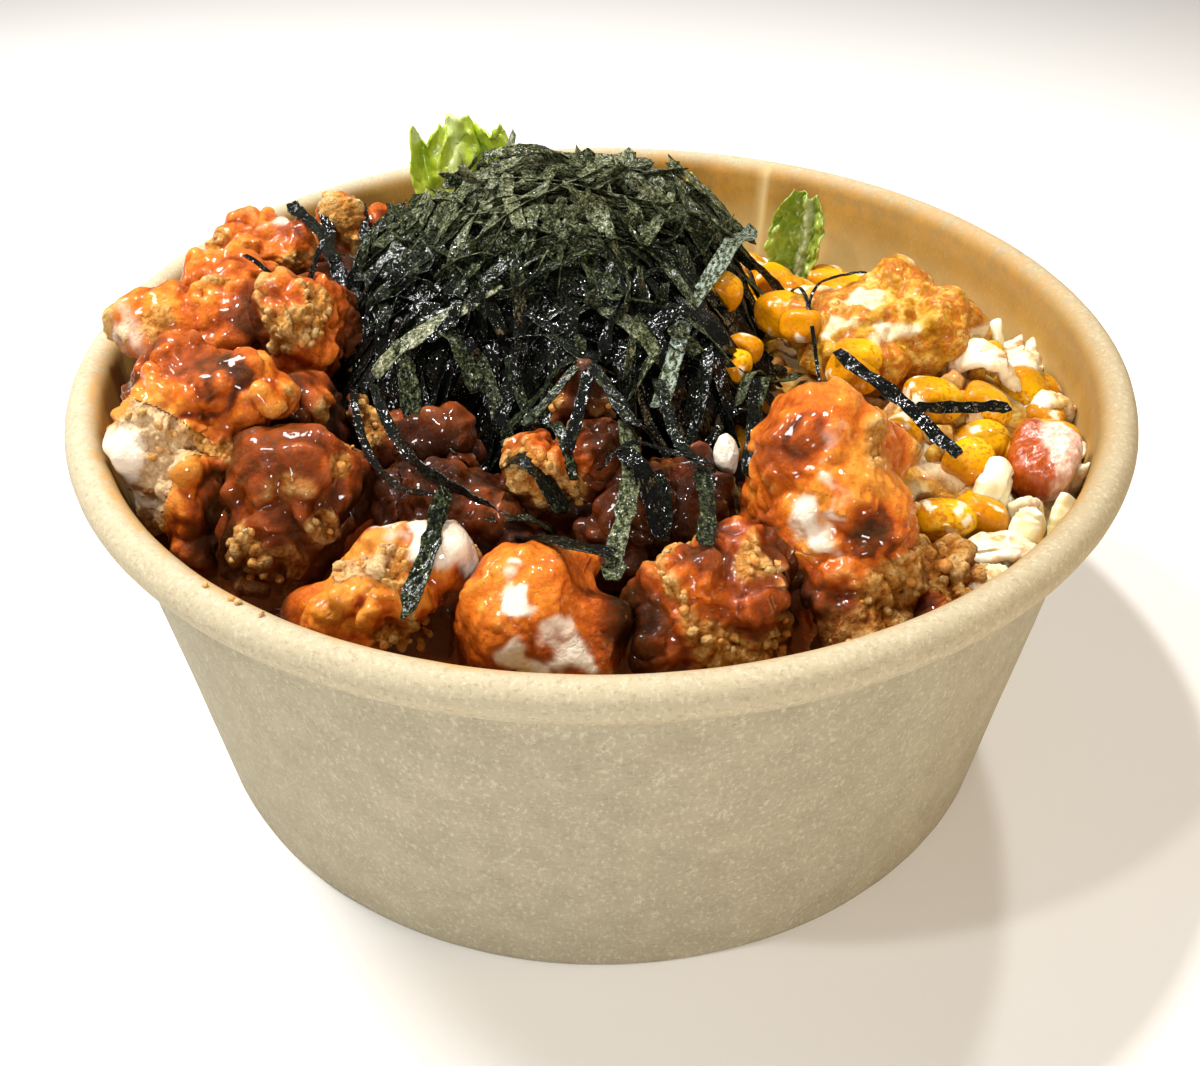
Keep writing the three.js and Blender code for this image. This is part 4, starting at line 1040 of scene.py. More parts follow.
# %% Crumbs of batter
RIM_CRUMBS = [(-43.8, -57.0, 61.0), (-40.4, -59.4, 61.0), (-39.6, -59.9, 61.0), (-36.6, -62.0, 61.0)]
RIM_CRUMB_SCALE = 0.6
random = np.random.default_rng(131)
ball, ball_faces, _ = ball_grid(2)
places = np.concatenate(crumb_places + [RIM_CRUMBS])
sizes = random.uniform(0.3, 0.85, (len(places), 1, 1)) * random.uniform(0.6, 1.2, (len(places), 1, 3))
on_rim = np.arange(len(places)) >= len(places) - len(RIM_CRUMBS)
sizes[on_rim] *= RIM_CRUMB_SCALE
points, faces = copies((ball * sizes, ball_faces), random_turns(random, len(places), 1.0), places)
points = points + 0.15 * shifts(points, 0.8, 1, 160)
size = len(points)
make_piece("batter_crumbs", points, faces[0], CRUST, [], {
    "depth": np.zeros(size), "mayo": np.zeros(size), "crust": np.full(size, 0.6),
    "wet": np.repeat(0.8 * random.random(len(places)) ** 2, len(ball)),
    "tone": np.repeat(random.uniform(-0.3, 0.3, len(places)) - 0.6 * on_rim, len(ball))})

# %% [markdown]
# ## The seaweed
# Dried seaweed is cut into thin shreds. They soften where they lie on the wet food and stay crisp
# on top. Hair or curves could draw them, but a shred is flat, torn and creased, which only a mesh
# can show. So each is a ribbon carried along a path that lies over the heap. All the paths are one
# array, so a few lines drape and loosen them all together.

# %% Paths of the shreds
SHRED_STEPS = 24
SECTION = np.array([-0.5, -0.45, -0.16, 0.16, 0.45, 0.5])
TIGHTEN_ROUNDS = 60
SMOOTH_ROUNDS = 4
STEEPEST_FALL = 1.1
LOWEST_FOOD = 46


def draped_paths(random, tree, starts, headings, lengths, bends, lift, freedom=0.0, steps=SHRED_STEPS):
    """Paths over a surface: x and y run along a bent line, and z is the surface's height, drawn
    tight over the dips, never falling off steeply from the middle, plus a lift. With some freedom
    a path also tips and curls at its ends."""
    share = np.linspace(0, 1, steps)
    angle = headings[:, None] + bends[:, None] * (share - 0.5)
    step = lengths[:, None] / (steps - 1)
    x = starts[:, :1] + np.cumsum(np.cos(angle) * step, 1) - np.cos(headings)[:, None] * lengths[:, None] / 2
    y = starts[:, 1:] + np.cumsum(np.sin(angle) * step, 1) - np.sin(headings)[:, None] * lengths[:, None] / 2
    places = np.stack([x.ravel(), y.ravel()], 1)
    under = heights_under(tree, places, LOWEST_FOOD).reshape(x.shape)
    z = under.copy()
    for _ in range(TIGHTEN_ROUNDS):
        z[:, 1:-1] = np.maximum(z[:, 1:-1], (z[:, :-2] + z[:, 2:]) / 2)
    fall = STEEPEST_FALL * step[:, 0]
    for k in range(steps // 2, steps - 1):
        z[:, k + 1] = np.maximum(z[:, k + 1], z[:, k] - fall)
    for k in range(steps // 2, 0, -1):
        z[:, k - 1] = np.maximum(z[:, k - 1], z[:, k] - fall)
    for _ in range(SMOOTH_ROUNDS):
        z[:, 1:-1] = (z[:, 1:-1] * 2 + z[:, :-2] + z[:, 2:]) / 4
    tip, curl = random.normal(0, freedom, (2, len(starts), 1))
    z += lift[:, None] + tip * (share - 0.5) + curl * np.abs(2 * share - 1) ** 3
    return np.stack([x, y, np.maximum(z, under + 0.3)], -1)


print("a path has", SHRED_STEPS, "points")


# %% Ribbons along paths
def ribbons(paths, widths, random, thickness=0.12, crinkle=0.25, lean=0.35):
    """Ribbons along paths: a flat section with points across it above and below the path. The
    section leans by a twist, its edges are torn and its ends cut aslant, and its face crinkles."""
    count, steps, _ = paths.shape
    ahead = np.gradient(paths, axis=1)
    ahead /= np.linalg.norm(ahead, axis=-1, keepdims=True)
    across = np.cross([0, 0, 1.0], ahead)
    across /= np.maximum(np.linalg.norm(across, axis=-1, keepdims=True), 1e-6)
    upward = np.cross(ahead, across)
    share = np.linspace(0, 1, steps)
    twist = random.normal(0, lean, (count, 1)) + random.normal(0, 2 * lean, (count, 1)) * (share - 0.5)
    side = across * np.cos(twist)[..., None] + upward * np.sin(twist)[..., None]
    face = np.cross(ahead, side)
    flat_points = paths.reshape(-1, 3)
    tear = 1 + 0.25 * noise(flat_points, 2.1, 31) + 0.2 * noise(flat_points, 0.8, 32)
    width = widths[:, None] * np.clip(np.minimum(share, 1 - share) * 20, 0.7, 1) * tear.reshape(count, steps)
    offset = SECTION * width[..., None]
    slant = np.where(share > 0.5, 1, -1) * smooth_step(0.4, 0.5, np.abs(share - 0.5))
    cut = random.normal(0, 0.4, (count, 2))[:, (share > 0.5).astype(int)] * slant
    middle = paths[:, :, None] + side[:, :, None] * offset[..., None]
    middle = middle + ahead[:, :, None] * (offset * cut[..., None])[..., None]
    ripple = crinkle * rough(middle.reshape(-1, 3), 2.2, 2, 33).reshape(middle.shape[:3])
    middle = middle + face[:, :, None] * ripple[..., None]
    half = face[:, :, None] * thickness / 2
    loop = np.concatenate([middle + half, (middle - half)[:, :, ::-1]], 2)
    around = loop.shape[2]
    index = np.arange(count * steps * around).reshape(count, steps, around)
    low, high = index[:, :, :len(SECTION)], index[:, :, :len(SECTION) - 1:-1]
    caps = np.concatenate([
        np.stack([low[:, 0, :-1], low[:, 0, 1:], high[:, 0, 1:], high[:, 0, :-1]], -1).reshape(-1, 4),
        np.stack([low[:, -1, 1:], low[:, -1, :-1], high[:, -1, :-1], high[:, -1, 1:]], -1).reshape(-1, 4)])
    length = np.linalg.norm(np.diff(paths, axis=1), axis=-1).sum(1)[:, None] * share
    return loop.reshape(-1, 3), np.concatenate([ring_quads(index), caps]), {
        "tone": np.repeat(random.random(count), steps * around), "along": np.repeat(length, around),
        "across": np.concatenate([offset, offset[..., ::-1]], 2).ravel()}


around = 2 * len(SECTION)
print("a long shred has", 2 * around * (SHRED_STEPS - 1) + 4 * (len(SECTION) - 1), "triangles")


# %% Crisp seaweed
def crisp_seaweed():
    """Nearly black green sheet with a crackled grain, paler on top of the heap where it is drier and
    where light is painted, with painted glints and a painted sheen.
    """
    finish = Finish("crisp_seaweed")
    tone, dry = finish.read("tone"), finish.read("dry")
    strip = finish.node("ShaderNodeCombineXYZ", {
        "X": finish.times(finish.read("along"), 0.75 * MM),
        "Y": finish.times(finish.read("across"), MM),
        "Z": finish.times(tone, 0.3)}).outputs["Vector"]
    streaks = finish.speckle(0.6, 4, 0.75, strip)
    crackle = finish.cells(0.55, strip)
    grain = finish.speckle(0.3, 3, 0.6)
    pale = finish.plus(finish.times(streaks, 0.9), finish.times(grain, 0.5))
    # The dry mark also carries painted light: high shreds are paler for the light from above.
    pale = finish.plus(pale, finish.times(finish.minus(dry, 0.75), 0.26))
    pale = finish.plus(pale, finish.times(finish.minus(tone, 0.5), 0.12))
    colour = finish.ramp(pale, (0.52, "#020302"), (0.64, "#0f140b"), (0.75, "#3a4126"),
                         (0.87, "#7f8062"), (1.0, "#bdba9c"))
    # Painted glints: pale specks in clusters stand in for sparkles of light on the wet shreds.
    clusters = finish.range(finish.speckle(2.5, 3), 0.5, 0.62)
    glints = finish.times(finish.range(finish.cells(0.4), 0.12, 0.24, 0.8, 0), clusters)
    colour = finish.mix(glints, colour, "#b5bdb0")
    # Painted sheen: the top strip's streaks are tinted pale blue-grey, as if light shone off it.
    painted_sheen = finish.times(finish.read("painted_sheen"), finish.range(streaks, 0.46, 0.6, 0, 0.7))
    colour = finish.mix(painted_sheen, colour, "#93a39c")
    finish.set(Base_Color=colour, Roughness=finish.range(crackle, 0.1, 0.6, 0.25, 0.5))
    finish.set(Coat_Weight=finish.range(dry, 0, 1, 0.7, 0.2), Coat_Roughness=0.07, Specular_IOR_Level=0.03)
    finish.bump((streaks, 0.45, 1.0), (crackle, 0.25, 0.8), (grain, 0.2, 0.8))
    finish.coat_bump(finish.speckle(1.3, 2, 0.6, strip), 0.6, 1.0)
    return finish.material


SEAWEED = crisp_seaweed()
print("the seaweed's finish has", len(SEAWEED.node_tree.nodes), "nodes")

# %% The heap's core
CORE_SUNK = 1.2
random = np.random.default_rng(300)
heap_points, heap_faces, _ = base_lump("seaweed_heap", 0.9)
heap_points = heap_points - CORE_SUNK * normals_of(heap_points, heap_faces)
heap_tree = BVHTree.FromPolygons(heap_points.tolist(), heap_faces.tolist())
make_piece("seaweed_core", heap_points, heap_faces, SEAWEED, ["seaweed_heap"], {
    "tone": np.full(len(heap_points), 0.1), "along": heap_points[:, 0], "across": heap_points[:, 1],
    "dry": np.zeros(len(heap_points))})

# %% Drape the heap
HEAP_MIDDLE = np.array([-6.0, 7.0])
HEAP_REACH = np.array([34.0, 33.0])


def dryness_and_top_light(points):
    """Shreds on top of the heap stay dry and pale, and those low in it are wet and black. The paler top is
    also painted light, for the light that falls on the heap from above.
    """
    return smooth_step(60, 82, points[:, 2] + 0.25 * points[:, 1])


def scattered(random, count):
    """Places spread evenly over the heap's oval plan."""
    spread = np.sqrt(random.random(count))
    around = random.uniform(0, 2 * math.pi, count)
    return HEAP_MIDDLE + HEAP_REACH * spread[:, None] * np.stack([np.cos(around), np.sin(around)], 1)


# Lengths, widths and lift off the core are in millimetres. The share "combed" of a layer runs one
# way, and the rest runs round the heap, but may turn from that by up to "free". "bend" and "lean"
# are how much shreds differ in their bends and twists, and "freedom" how far their ends stand off.
LAYERS = [
    {"count": 130, "lengths": (12, 30), "bend": 0.5, "lift": (0.2, 1.8), "widths": (1.2, 2.2), "lean": 0.5,
     "free": 1.6, "freedom": 1.0, "combed": 0.3, "steps": 20},
    {"count": 120, "lengths": (10, 30), "bend": 0.25, "lift": (0.8, 3.2), "widths": (1.7, 2.8), "lean": 0.3,
     "free": 0.9, "freedom": 1.7, "combed": 0.7, "steps": 20},
    {"count": 120, "lengths": (4, 13), "bend": 0.3, "lift": (1.0, 4.0), "widths": (1.0, 2.4), "lean": 0.6,
     "free": 1.6, "freedom": 1.5, "combed": 0.4, "steps": 10},
    {"count": 90, "lengths": (4, 11), "bend": 0.4, "lift": (2.2, 4.2), "widths": (1.2, 2.4), "lean": 0.5,
     "free": 3.0, "freedom": 1.0, "combed": 0.0, "steps": 10},
]
for number, layer in enumerate(LAYERS):
    count = layer["count"]
    starts = scattered(random, count)
    outward = (starts - HEAP_MIDDLE) / HEAP_REACH
    along_edge = np.arctan2(outward[:, 1], outward[:, 0]) + math.pi / 2
    free = layer["free"] * random.uniform(-1, 1, count) * (1 - 0.4 * (outward ** 2).sum(1))
    combed = 0.35 - 0.025 * (starts[:, 0] - HEAP_MIDDLE[0]) + random.normal(0, 0.5, count)
    headings = np.where(random.random(count) < layer["combed"], combed, along_edge + free)
    paths = draped_paths(random, heap_tree, starts, headings,
                         random.uniform(*layer["lengths"], count), random.normal(0, layer["bend"], count),
                         random.uniform(*layer["lift"], count), layer["freedom"], layer["steps"])
    points, faces, marks = ribbons(paths, random.uniform(*layer["widths"], count), random, lean=layer["lean"])
    # Painted sheen: in the last layer the shreds with a high tone are made pale, as if light shone off them
    # low in the heap.
    marks["dry"] = np.maximum(dryness_and_top_light(points), 0.7 * (marks["tone"] > 0.6) * (layer["combed"] == 0))
    make_piece(f"seaweed_shreds_{number + 1}", points, faces, SEAWEED, [], marks)

# %% [markdown]
# ## Strands over the food
# Round the heap single shreds lie over the chicken and the corn. Some have soaked up sauce and
# turned black and narrow, and two are as thin as a thread. Eight that stand out are solids, and
# their ribbons follow the middle of the solid. Each of the others is a chord in the plan with a
# bow to one side, draped over the solids in the same way as the heap's own shreds.

# %% Lay the strands
# A bow b over a chord c is an arc that bends by 8 b / c.
STRANDS = [
    # from x, y      to x, y        bow   width  dryness
    (-33.0, -9.0, -18.5, -44.0, -3.0, 1.1, 0.05), (-28.0, -10.5, -26.0, -19.5, 0.5, 2.7, 0.95),
    (-23.0, -10.0, -17.0, -17.0, 0.5, 2.4, 0.7), (-13.7, -11.5, -4.1, -34.0, 0.5, 1.6, 0.6),
    (-12.5, -33.0, -5.0, -37.5, 0.5, 2.7, 0.15), (-15.0, -39.5, -6.5, -38.0, -0.6, 1.6, 0.6),
    (-10.0, -40.0, 1.8, -52.0, -1.5, 2.2, 0.05), (2.6, -15.0, 4.0, -31.0, 0.4, 1.8, 0.1),
    (7.5, -19.0, 12.0, -36.0, -0.6, 1.6, 0.4), (2.0, -36.0, 7.0, -44.0, 0.6, 2.6, 0.1),
    (5.5, -35.0, 7.5, -43.0, 0.4, 1.8, 0.1), (21.0, -13.0, 17.6, -37.0, 0.5, 2.1, 0.1),
    (17.0, -17.0, 4.5, -30.5, 0.6, 1.2, 0.3), (-1.4, -8.5, 7.5, -15.5, 0.3, 2.7, 0.8),
    (-13.0, -5.5, -30.5, -12.5, 0.5, 2.8, 1.1), (-45.0, 37.0, -39.5, 17.0, -1.0, 2.2, 0.05),
    (-52.0, 5.0, -40.0, 11.5, -2.0, 1.0, 0.05), (21.0, 20.0, 31.5, 20.5, 1.0, 2.2, 0.35),
    (20.5, 9.0, 27.0, 0.0, 0.5, 1.6, 0.2), (25.0, 4.5, 20.8, -16.0, 0.6, 2.6, 0.85),
    (30.5, -1.0, 19.5, -16.0, -0.8, 1.7, 0.7), (27.0, -6.0, 33.0, -8.0, 0.5, 2.0, 0.1),
    (26.9, 16.6, 30.4, -13.8, 1.0, 0.55, 0.2), (41.6, 9.6, 30.5, -1.5, -2.5, 0.4, 0.1),
    (-8.0, -15.0, 3.0, -31.0, 1.0, 2.2, 0.3), (-1.0, -13.0, -4.5, -32.0, 0.8, 1.6, 0.15),
    (4.0, -17.0, -9.0, -29.5, -0.8, 1.3, 0.7), (-14.0, -22.0, -1.0, -22.0, 1.0, 1.8, 0.5),
    (-1.0, -36.5, 14.0, -37.0, 1.5, 1.0, 0.1), (-7.0, -13.0, -9.0, -27.0, 1.0, 1.5, 0.3),
    (-17.5, -15.0, -19.5, -29.0, 1.0, 1.7, 0.3), (14.0, -10.0, 9.0, -27.0, 1.2, 2.0, 0.4),
    (-42.0, 45.0, -39.0, 28.0, 0.5, 1.8, 0.4), (-37.0, 44.0, -31.5, 22.0, 1.0, 2.0, 0.8),
    (-34.0, 41.0, -40.5, 25.0, -0.8, 1.4, 0.5), (-30.0, 39.0, -36.0, 20.0, 0.6, 1.9, 0.9),
]
STRAND_LIFT = 1.1
FAR_LEFT_LIFT = 2.6
rows = np.array(STRANDS)
random = np.random.default_rng(310)
chord = rows[:, 2:4] - rows[:, :2]
length = np.linalg.norm(chord, axis=1)
heading = np.arctan2(chord[:, 1], chord[:, 0])
aside = np.stack([-chord[:, 1], chord[:, 0]], 1) / length[:, None]
middles = (rows[:, :2] + rows[:, 2:4]) / 2 + aside * rows[:, 4:5] / 2
paths = draped_paths(random, food_tree, middles, heading, length, -8 * rows[:, 4] / length,
                     np.where(rows[:, 0] < -50, FAR_LEFT_LIFT, STRAND_LIFT))
points, faces, marks = ribbons(paths, rows[:, 5], random, thickness=0.15, crinkle=0.18, lean=0.12)
marks["dry"] = np.repeat(rows[:, 6], SHRED_STEPS * 2 * len(SECTION))
make_piece("seaweed_strands", points, faces, SEAWEED, [], marks)

# %% The loose strips
STRIPS = [  # dryness and width
    (1.0, 2.4), (0.95, 2.3), (0.75, 2.2), (0.05, 1.5), (0.1, 1.9), (0.15, 1.6), (0.05, 2.1), (0.45, 2.2)]
STRIP_SLICES = 7
SLICE_OVERLAP = 0.6


def middle_line(node):
    """A path along a strip's solid: the means of its points in slices across its longest axis, and
    at each end the last mean, moved along that axis to the solid's end."""
    points, _ = solid_arrays(node)
    middle = points.mean(0)
    axis = np.linalg.svd(points - middle, full_matrices=False)[2][0]
    reach = (points - middle) @ axis
    edges = np.linspace(reach.min(), reach.max(), STRIP_SLICES + 1)
    slices = [points[(reach >= a - SLICE_OVERLAP) & (reach <= b + SLICE_OVERLAP)]
              for a, b in zip(edges[:-1], edges[1:])]
    knots = np.array([part.mean(0) if len(part) else middle for part in slices])
    first = knots[0] + axis * (reach.min() - (knots[0] - middle) @ axis)
    last = knots[-1] + axis * (reach.max() - (knots[-1] - middle) @ axis)
    knots = np.concatenate([[first], knots, [last]])
    share = np.linspace(0, len(knots) - 1, SHRED_STEPS)
    return np.stack([np.interp(share, np.arange(len(knots)), column) for column in knots.T], 1)


for number, (dry, width) in enumerate(STRIPS, 1):
    node = f"seaweed_strip_{number}"
    path = middle_line(node)
    on_top = number == 1
    path[:, 2] += 0.5 * on_top
    wet = dry < 0.3
    points, faces, marks = ribbons(
        path[None], np.array([width]), np.random.default_rng(320 + number), 0.14,
        crinkle=0.7 if wet else 0.25, lean=0.7 if wet else 0.3)
    marks["dry"] = np.full(len(points), dry)
    # The top strip carries a painted sheen.
    marks["painted_sheen"] = np.full(len(points), float(on_top))
    make_piece(f"seaweed_ribbon_{number}", points, faces, SEAWEED, [node], marks)

# %% [markdown]
# ## The salad
# Sweet corn, cabbage and crab stick in a cream dressing, dusted with chilli. The mound under it is
# the solid's skin with small lumps, because the dressing fills what lies under the top pieces. On
# it lie kernels, short curled pieces of cabbage and small curds of dressing, where the solid has
# them, with more of them between. Kernels are flattened wedges with a rounded crown: one shape,
# copied with its own size and turn for each place.

# %% Dressing and mound
def cream_dressing():
    """Thick cream dressing over small pieces, dusted with orange powder in patches."""
    finish = Finish("cream_dressing")
    patches = finish.speckle(4.5, 4, 0.6)
    grain = finish.speckle(0.8, 4, 0.65)
    lumps = finish.speckle(2.4, 4, 0.6)
    colour = finish.ramp(lumps, (0.34, "#8a540a"), (0.44, "#ac7614"), (0.54, "#c0922c"), (0.66, "#ccae60"))
    dust = finish.times(finish.range(patches, 0.43, 0.53), finish.range(grain, 0.38, 0.56, 0, 0.9))
    colour = finish.mix(finish.times(dust, finish.read("dust")), colour, "#a8580c")
    colour = finish.mix(finish.read("mayo"), colour, "#dccaa4")
    colour = finish.mix(finish.range(finish.cells(0.9), 0.08, 0.17, 0.6, 0), colour, "#84400a")
    finish.set(Base_Color=colour, Roughness=0.45, Specular_IOR_Level=0.15)
    finish.set(Coat_Weight=0.4, Coat_Roughness=0.06, Coat_IOR=1.35)
    finish.set(Subsurface_Weight=0.1, Subsurface_Radius=(1.0, 0.8, 0.5), Subsurface_Scale=0.002)
    finish.bump((grain, 0.4, 0.8), (patches, 0.6, 0.3))
    return finish.material


def lumpy(node, spacing, seed, mayo, dust=1.0):
    """A mound or chunk: the solid's skin moved along its normal by crags of two sizes and noise."""
    points, faces, _ = base_lump(node, spacing)
    lumps = 1.5 * crags(points, 8, seed) + 0.5 * crags(points, 3.6, seed + 1)
    lumps = lumps + 0.6 * rough(points, 2.6, 3, seed + 2)
    points = points + normals_of(points, faces) * (settled(lumps, faces, LIGHT_BLUR) - 1.0)[:, None]
    pushed = points + 2.5 * shifts(points, 5, 2, seed + 10)
    cream = smooth_step(0.2, 0.7, spots_at(pushed, mayo))
    return inside_wall(points), faces, {"mayo": cream, "dust": np.full(len(points), dust)}


DRESSING = cream_dressing()
points, faces, marks = lumpy("dressed_chunk", 0.3, 401, [
    (38.5, 2.5, 66, 2.8, 0.8), (41.2, -3.8, 63.2, 2.4, 0.75), (34, -2, 63, 2.2, 0.6),
    (46, 9, 69, 2.5, 0.5), (55, -3, 62, 2.6, 0.8), (33, 8, 65, 2.2, 0.5)])
make_piece("dressed_lump", points, faces, DRESSING, ["dressed_chunk"], marks)
chunk_points, chunk_faces = points, faces

points, faces, marks = lumpy("corn_salad", 0.55, 402, [
    (60, -36, 54, 9, 0.9), (66, 2, 54, 7, 0.8), (48, -36, 54, 5, 0.6)], 0.5)
cream = 0.8 * smooth_step(-0.15, 0.4, noise(points, 5, 403)) * smooth_step(20, -8, points[:, 1])
marks["mayo"] = np.maximum(marks["mayo"], cream)
make_piece("salad_mound", points, faces, DRESSING, ["corn_salad"], marks)
salad_tree = BVHTree.FromPolygons(np.concatenate([points, chunk_points]).tolist(),
                                  np.concatenate([faces, chunk_faces + len(points)]).tolist())

# %% Kernels of corn
KERNEL_SIZE = (4.2, 3.7, 2.9)
KERNEL_FLOOR = 49
CHUNK_HEIGHT = 60
SUNK_IN_CHUNK = 1.8
SLOPE_SCALE = 0.8
KERNELS = [  # x, y and the turn in degrees
    (40.8, 17.6, 80), (31.6, 16.4, 10), (24.8, 20.6, 60), (57.4, 13.2, 20), (45.6, -15.6, 5),
    (53.6, -13.4, -20), (48.6, -26.4, 50), (44, -34.6, -30), (63.4, -15.6, 75), (50.4, 24, 30),
    (27, 29, -15), (38.2, 30.6, 15), (58.5, 5, 40), (36, 10, -30), (64, -9, 60),
    (44, 36, 0), (56, 30, 30), (33, 24, 45), (47, 14, -20), (62, -5, -50), (52, -20, 30),
    (40, -20, 60), (36, -8, 20), (20, 14, 40), (22, 2, 0), (24, -6, 70), (28, 8, 30), (18, -12, 10),
    (57, -22, 15), (49, -33, 70), (66, 0, 80), (60, 20, 50), (30, 2, 60), (36.5, -6.5, -10),
    (23.5, 36, 20), (30.5, 39, 70), (40, 40, -20), (27, 43.5, 40), (34, 34, 10)]
SLOPE_KERNELS = [  # between the shreds of the heap: x, y, z and the turn in degrees
    (18.7, -9.6, 61.0, 40), (18.2, 5.4, 65.0, 80), (21.0, -2.5, 59.6, 60)]


def kernel_shape():
    """A kernel: a ball with its tip at x = 1 and its crown at x = -1. It is squared off by powers
    below one, broadened by 1 - 0.2 x - 0.1 x^2, dented at the crown and then given its size."""
    points, faces, _ = ball_grid(8)
    x, y, z = points.T
    broad = 1 - 0.2 * x - 0.1 * x ** 2
    dent = 0.2 * np.exp(-((x + 1) ** 2 * 2 + y ** 2 * 5 + z ** 2 * 5))
    shape = np.stack([np.sign(x) * np.abs(x) ** 0.75 + dent, np.sign(y) * np.abs(y) ** 0.72 * broad,
                      np.sign(z) * np.abs(z) ** 0.8 * broad], 1)
    return shape * KERNEL_SIZE, faces


kernel, kernel_faces = kernel_shape()
print("a kernel measures", *np.round(np.ptp(kernel, axis=0), 1), "mm")


# %% Sweet corn
def sweet_corn():
    """Glossy yellow skins, deeper orange at the crown, with a little powder on them."""
    finish = Finish("sweet_corn")
    shade = finish.plus(finish.read("crown"), finish.times(finish.speckle(3, 2), 0.3))
    colour = finish.ramp(shade, (0.1, "#e6b812"), (0.45, "#dca206"), (0.95, "#c07c02"))
    powder = finish.times(finish.range(finish.speckle(0.6, 4), 0.46, 0.62, 0, 0.8),
                          finish.range(finish.speckle(5, 2), 0.38, 0.55))
    colour = finish.mix(powder, colour, "#b0620a")
    cream = finish.range(finish.speckle(4, 3), 0.57, 0.66)
    colour = finish.mix(cream, colour, "#f0dfc0")
    finish.set(Base_Color=colour, Roughness=0.4, Specular_IOR_Level=0.1)
    finish.set(Coat_Weight=0.5, Coat_Roughness=0.06, Coat_IOR=1.35)
    finish.set(Subsurface_Weight=0.15, Subsurface_Radius=(1.0, 0.7, 0.15), Subsurface_Scale=0.0015)
    finish.bump((finish.speckle(1.5, 4), 0.35, 0.7))
    return finish.material


# %% Lay the kernels
def tilted(spins, leans):
    """A turn about the vertical after two small leans about x and y, one 3 by 3 array for each."""
    turn = Matrix.Rotation
    return np.array([turn(spin, 3, "Z") @ turn(tip, 3, "X") @ turn(roll, 3, "Y")
                     for spin, (tip, roll) in zip(spins, leans)])


random = np.random.default_rng(410)
rows = np.array(KERNELS, float)
under = heights_under(salad_tree, rows[:, :2], KERNEL_FLOOR)
places = np.column_stack([rows[:, :2], under + np.where(under > CHUNK_HEIGHT, -SUNK_IN_CHUNK, 0.3)])
slope = np.array(SLOPE_KERNELS)
places = np.concatenate([places, slope[:, :3]])
rows = np.concatenate([rows, slope[:, [0, 1, 3]]])
turned = tilted(np.radians(rows[:, 2]), random.normal(0, 0.3, (len(rows), 2)))
sized = kernel * random.uniform(0.82, 1.08, (len(rows), 1, 1))
sized[-len(slope):] *= SLOPE_SCALE
points, faces = copies((sized, kernel_faces), turned, places)
crown = np.tile(0.5 - kernel[:, 0] / 2 / KERNEL_SIZE[0], len(rows))
make_piece("corn_kernels", inside_wall(points), faces, sweet_corn(), [], {"crown": crown})


# %% Cut cabbage
CABBAGE_STEPS = (25, 15)
CABBAGE_FLOOR = 50


def cabbage_piece(random):
    """A curled scrap of leaf: a grid rounded as sqrt(1 - 1.6 v^2) long and sqrt(1 - 1.8 u^2) wide,
    bent along and across by waves, raised at its two long edges and crumpled by noise."""
    u, v = np.meshgrid(*(np.linspace(-0.5, 0.5, steps) for steps in CABBAGE_STEPS), indexing="ij")
    long, wide = random.uniform(7, 12), random.uniform(3.5, 6)
    curl, start = random.uniform(1.2, 2.6), random.uniform(0, 6)
    x = u * long * np.sqrt(1 - 1.6 * v ** 2)
    y = v * wide * np.sqrt(1 - 1.8 * u ** 2)
    z = curl * np.sin(u * 4 + start) + 1.1 * np.sin(v * 4 + u * 3 + start) + 0.8 * (v * 2) ** 2
    sheet = np.stack([x, y, z], -1)
    crumple = rough((sheet + random.uniform(0, 90, 3)).reshape(-1, 3), 3.0, 3, 5).reshape(x.shape)
    return sheet + 0.8 * crumple[..., None] * [0.3, 0.3, 1]


def cut_cabbage():
    """White and pale green flesh with a wet sheen and a little powder."""
    finish = Finish("cut_cabbage")
    colour = finish.ramp(finish.speckle(3.5, 3), (0.3, "#dccf8c"), (0.5, "#eee4c0"), (0.7, "#f6f1e0"))
    grains = finish.range(finish.speckle(0.9, 4), 0.4, 0.65, 0.2, 0.8)
    dust = finish.times(finish.range(finish.speckle(6, 2), 0.5, 0.62), grains)
    colour = finish.mix(dust, colour, "#c27a2c")
    finish.set(Base_Color=colour, Roughness=0.3, Coat_Weight=0.3, Coat_Roughness=0.12)
    finish.set(Subsurface_Weight=0.4, Subsurface_Radius=(1.0, 0.9, 0.6), Subsurface_Scale=0.002)
    finish.bump((finish.speckle(0.9, 3), 0.2, 0.4))
    return finish.material


# %% Lay the cabbage
CABBAGE = [  # x, y and the turn in degrees
    (63.2, 1.6, 70), (65, -8, 20), (53.6, -38.4, 10), (60, -35.4, 80), (34.4, 23.6, 35),
    (56, -5.6, -15), (66, 8, 40), (50, -41, -20), (57, -31, 30), (63, -28, 70),
    (64, 14, 0), (52, 32, 50), (59, -40, 30), (45.5, -47.5, 30), (50, -32, 60), (61, -20, 10)]
random = np.random.default_rng(420)
rows = np.array(CABBAGE, float)
places = np.column_stack([rows[:, :2], heights_under(salad_tree, rows[:, :2], CABBAGE_FLOOR) + 1.1])
sheets = np.stack([cabbage_piece(random) for _ in CABBAGE])
leans = np.stack([random.normal(0, 0.4, len(rows)), random.normal(0, 0.3, len(rows))], 1)
turned = tilted(np.radians(rows[:, 2]), leans)
sheets = np.einsum("nij,nklj->nkli", turned, sheets) + places[:, None, None]
along, across = (np.linspace(-1, 1, steps) ** 4 for steps in CABBAGE_STEPS)
thickness = 2.2 + 0.8 * rough(sheets.reshape(-1, 3), 2.5, 2, 9).reshape(sheets.shape[:3])
thickness = thickness * (1 - 0.7 * np.maximum(across, along[:, None]))
points, faces = closed_sheets(sheets, thickness)
make_piece("cabbage_pieces", inside_wall(points), faces, cut_cabbage(), [])

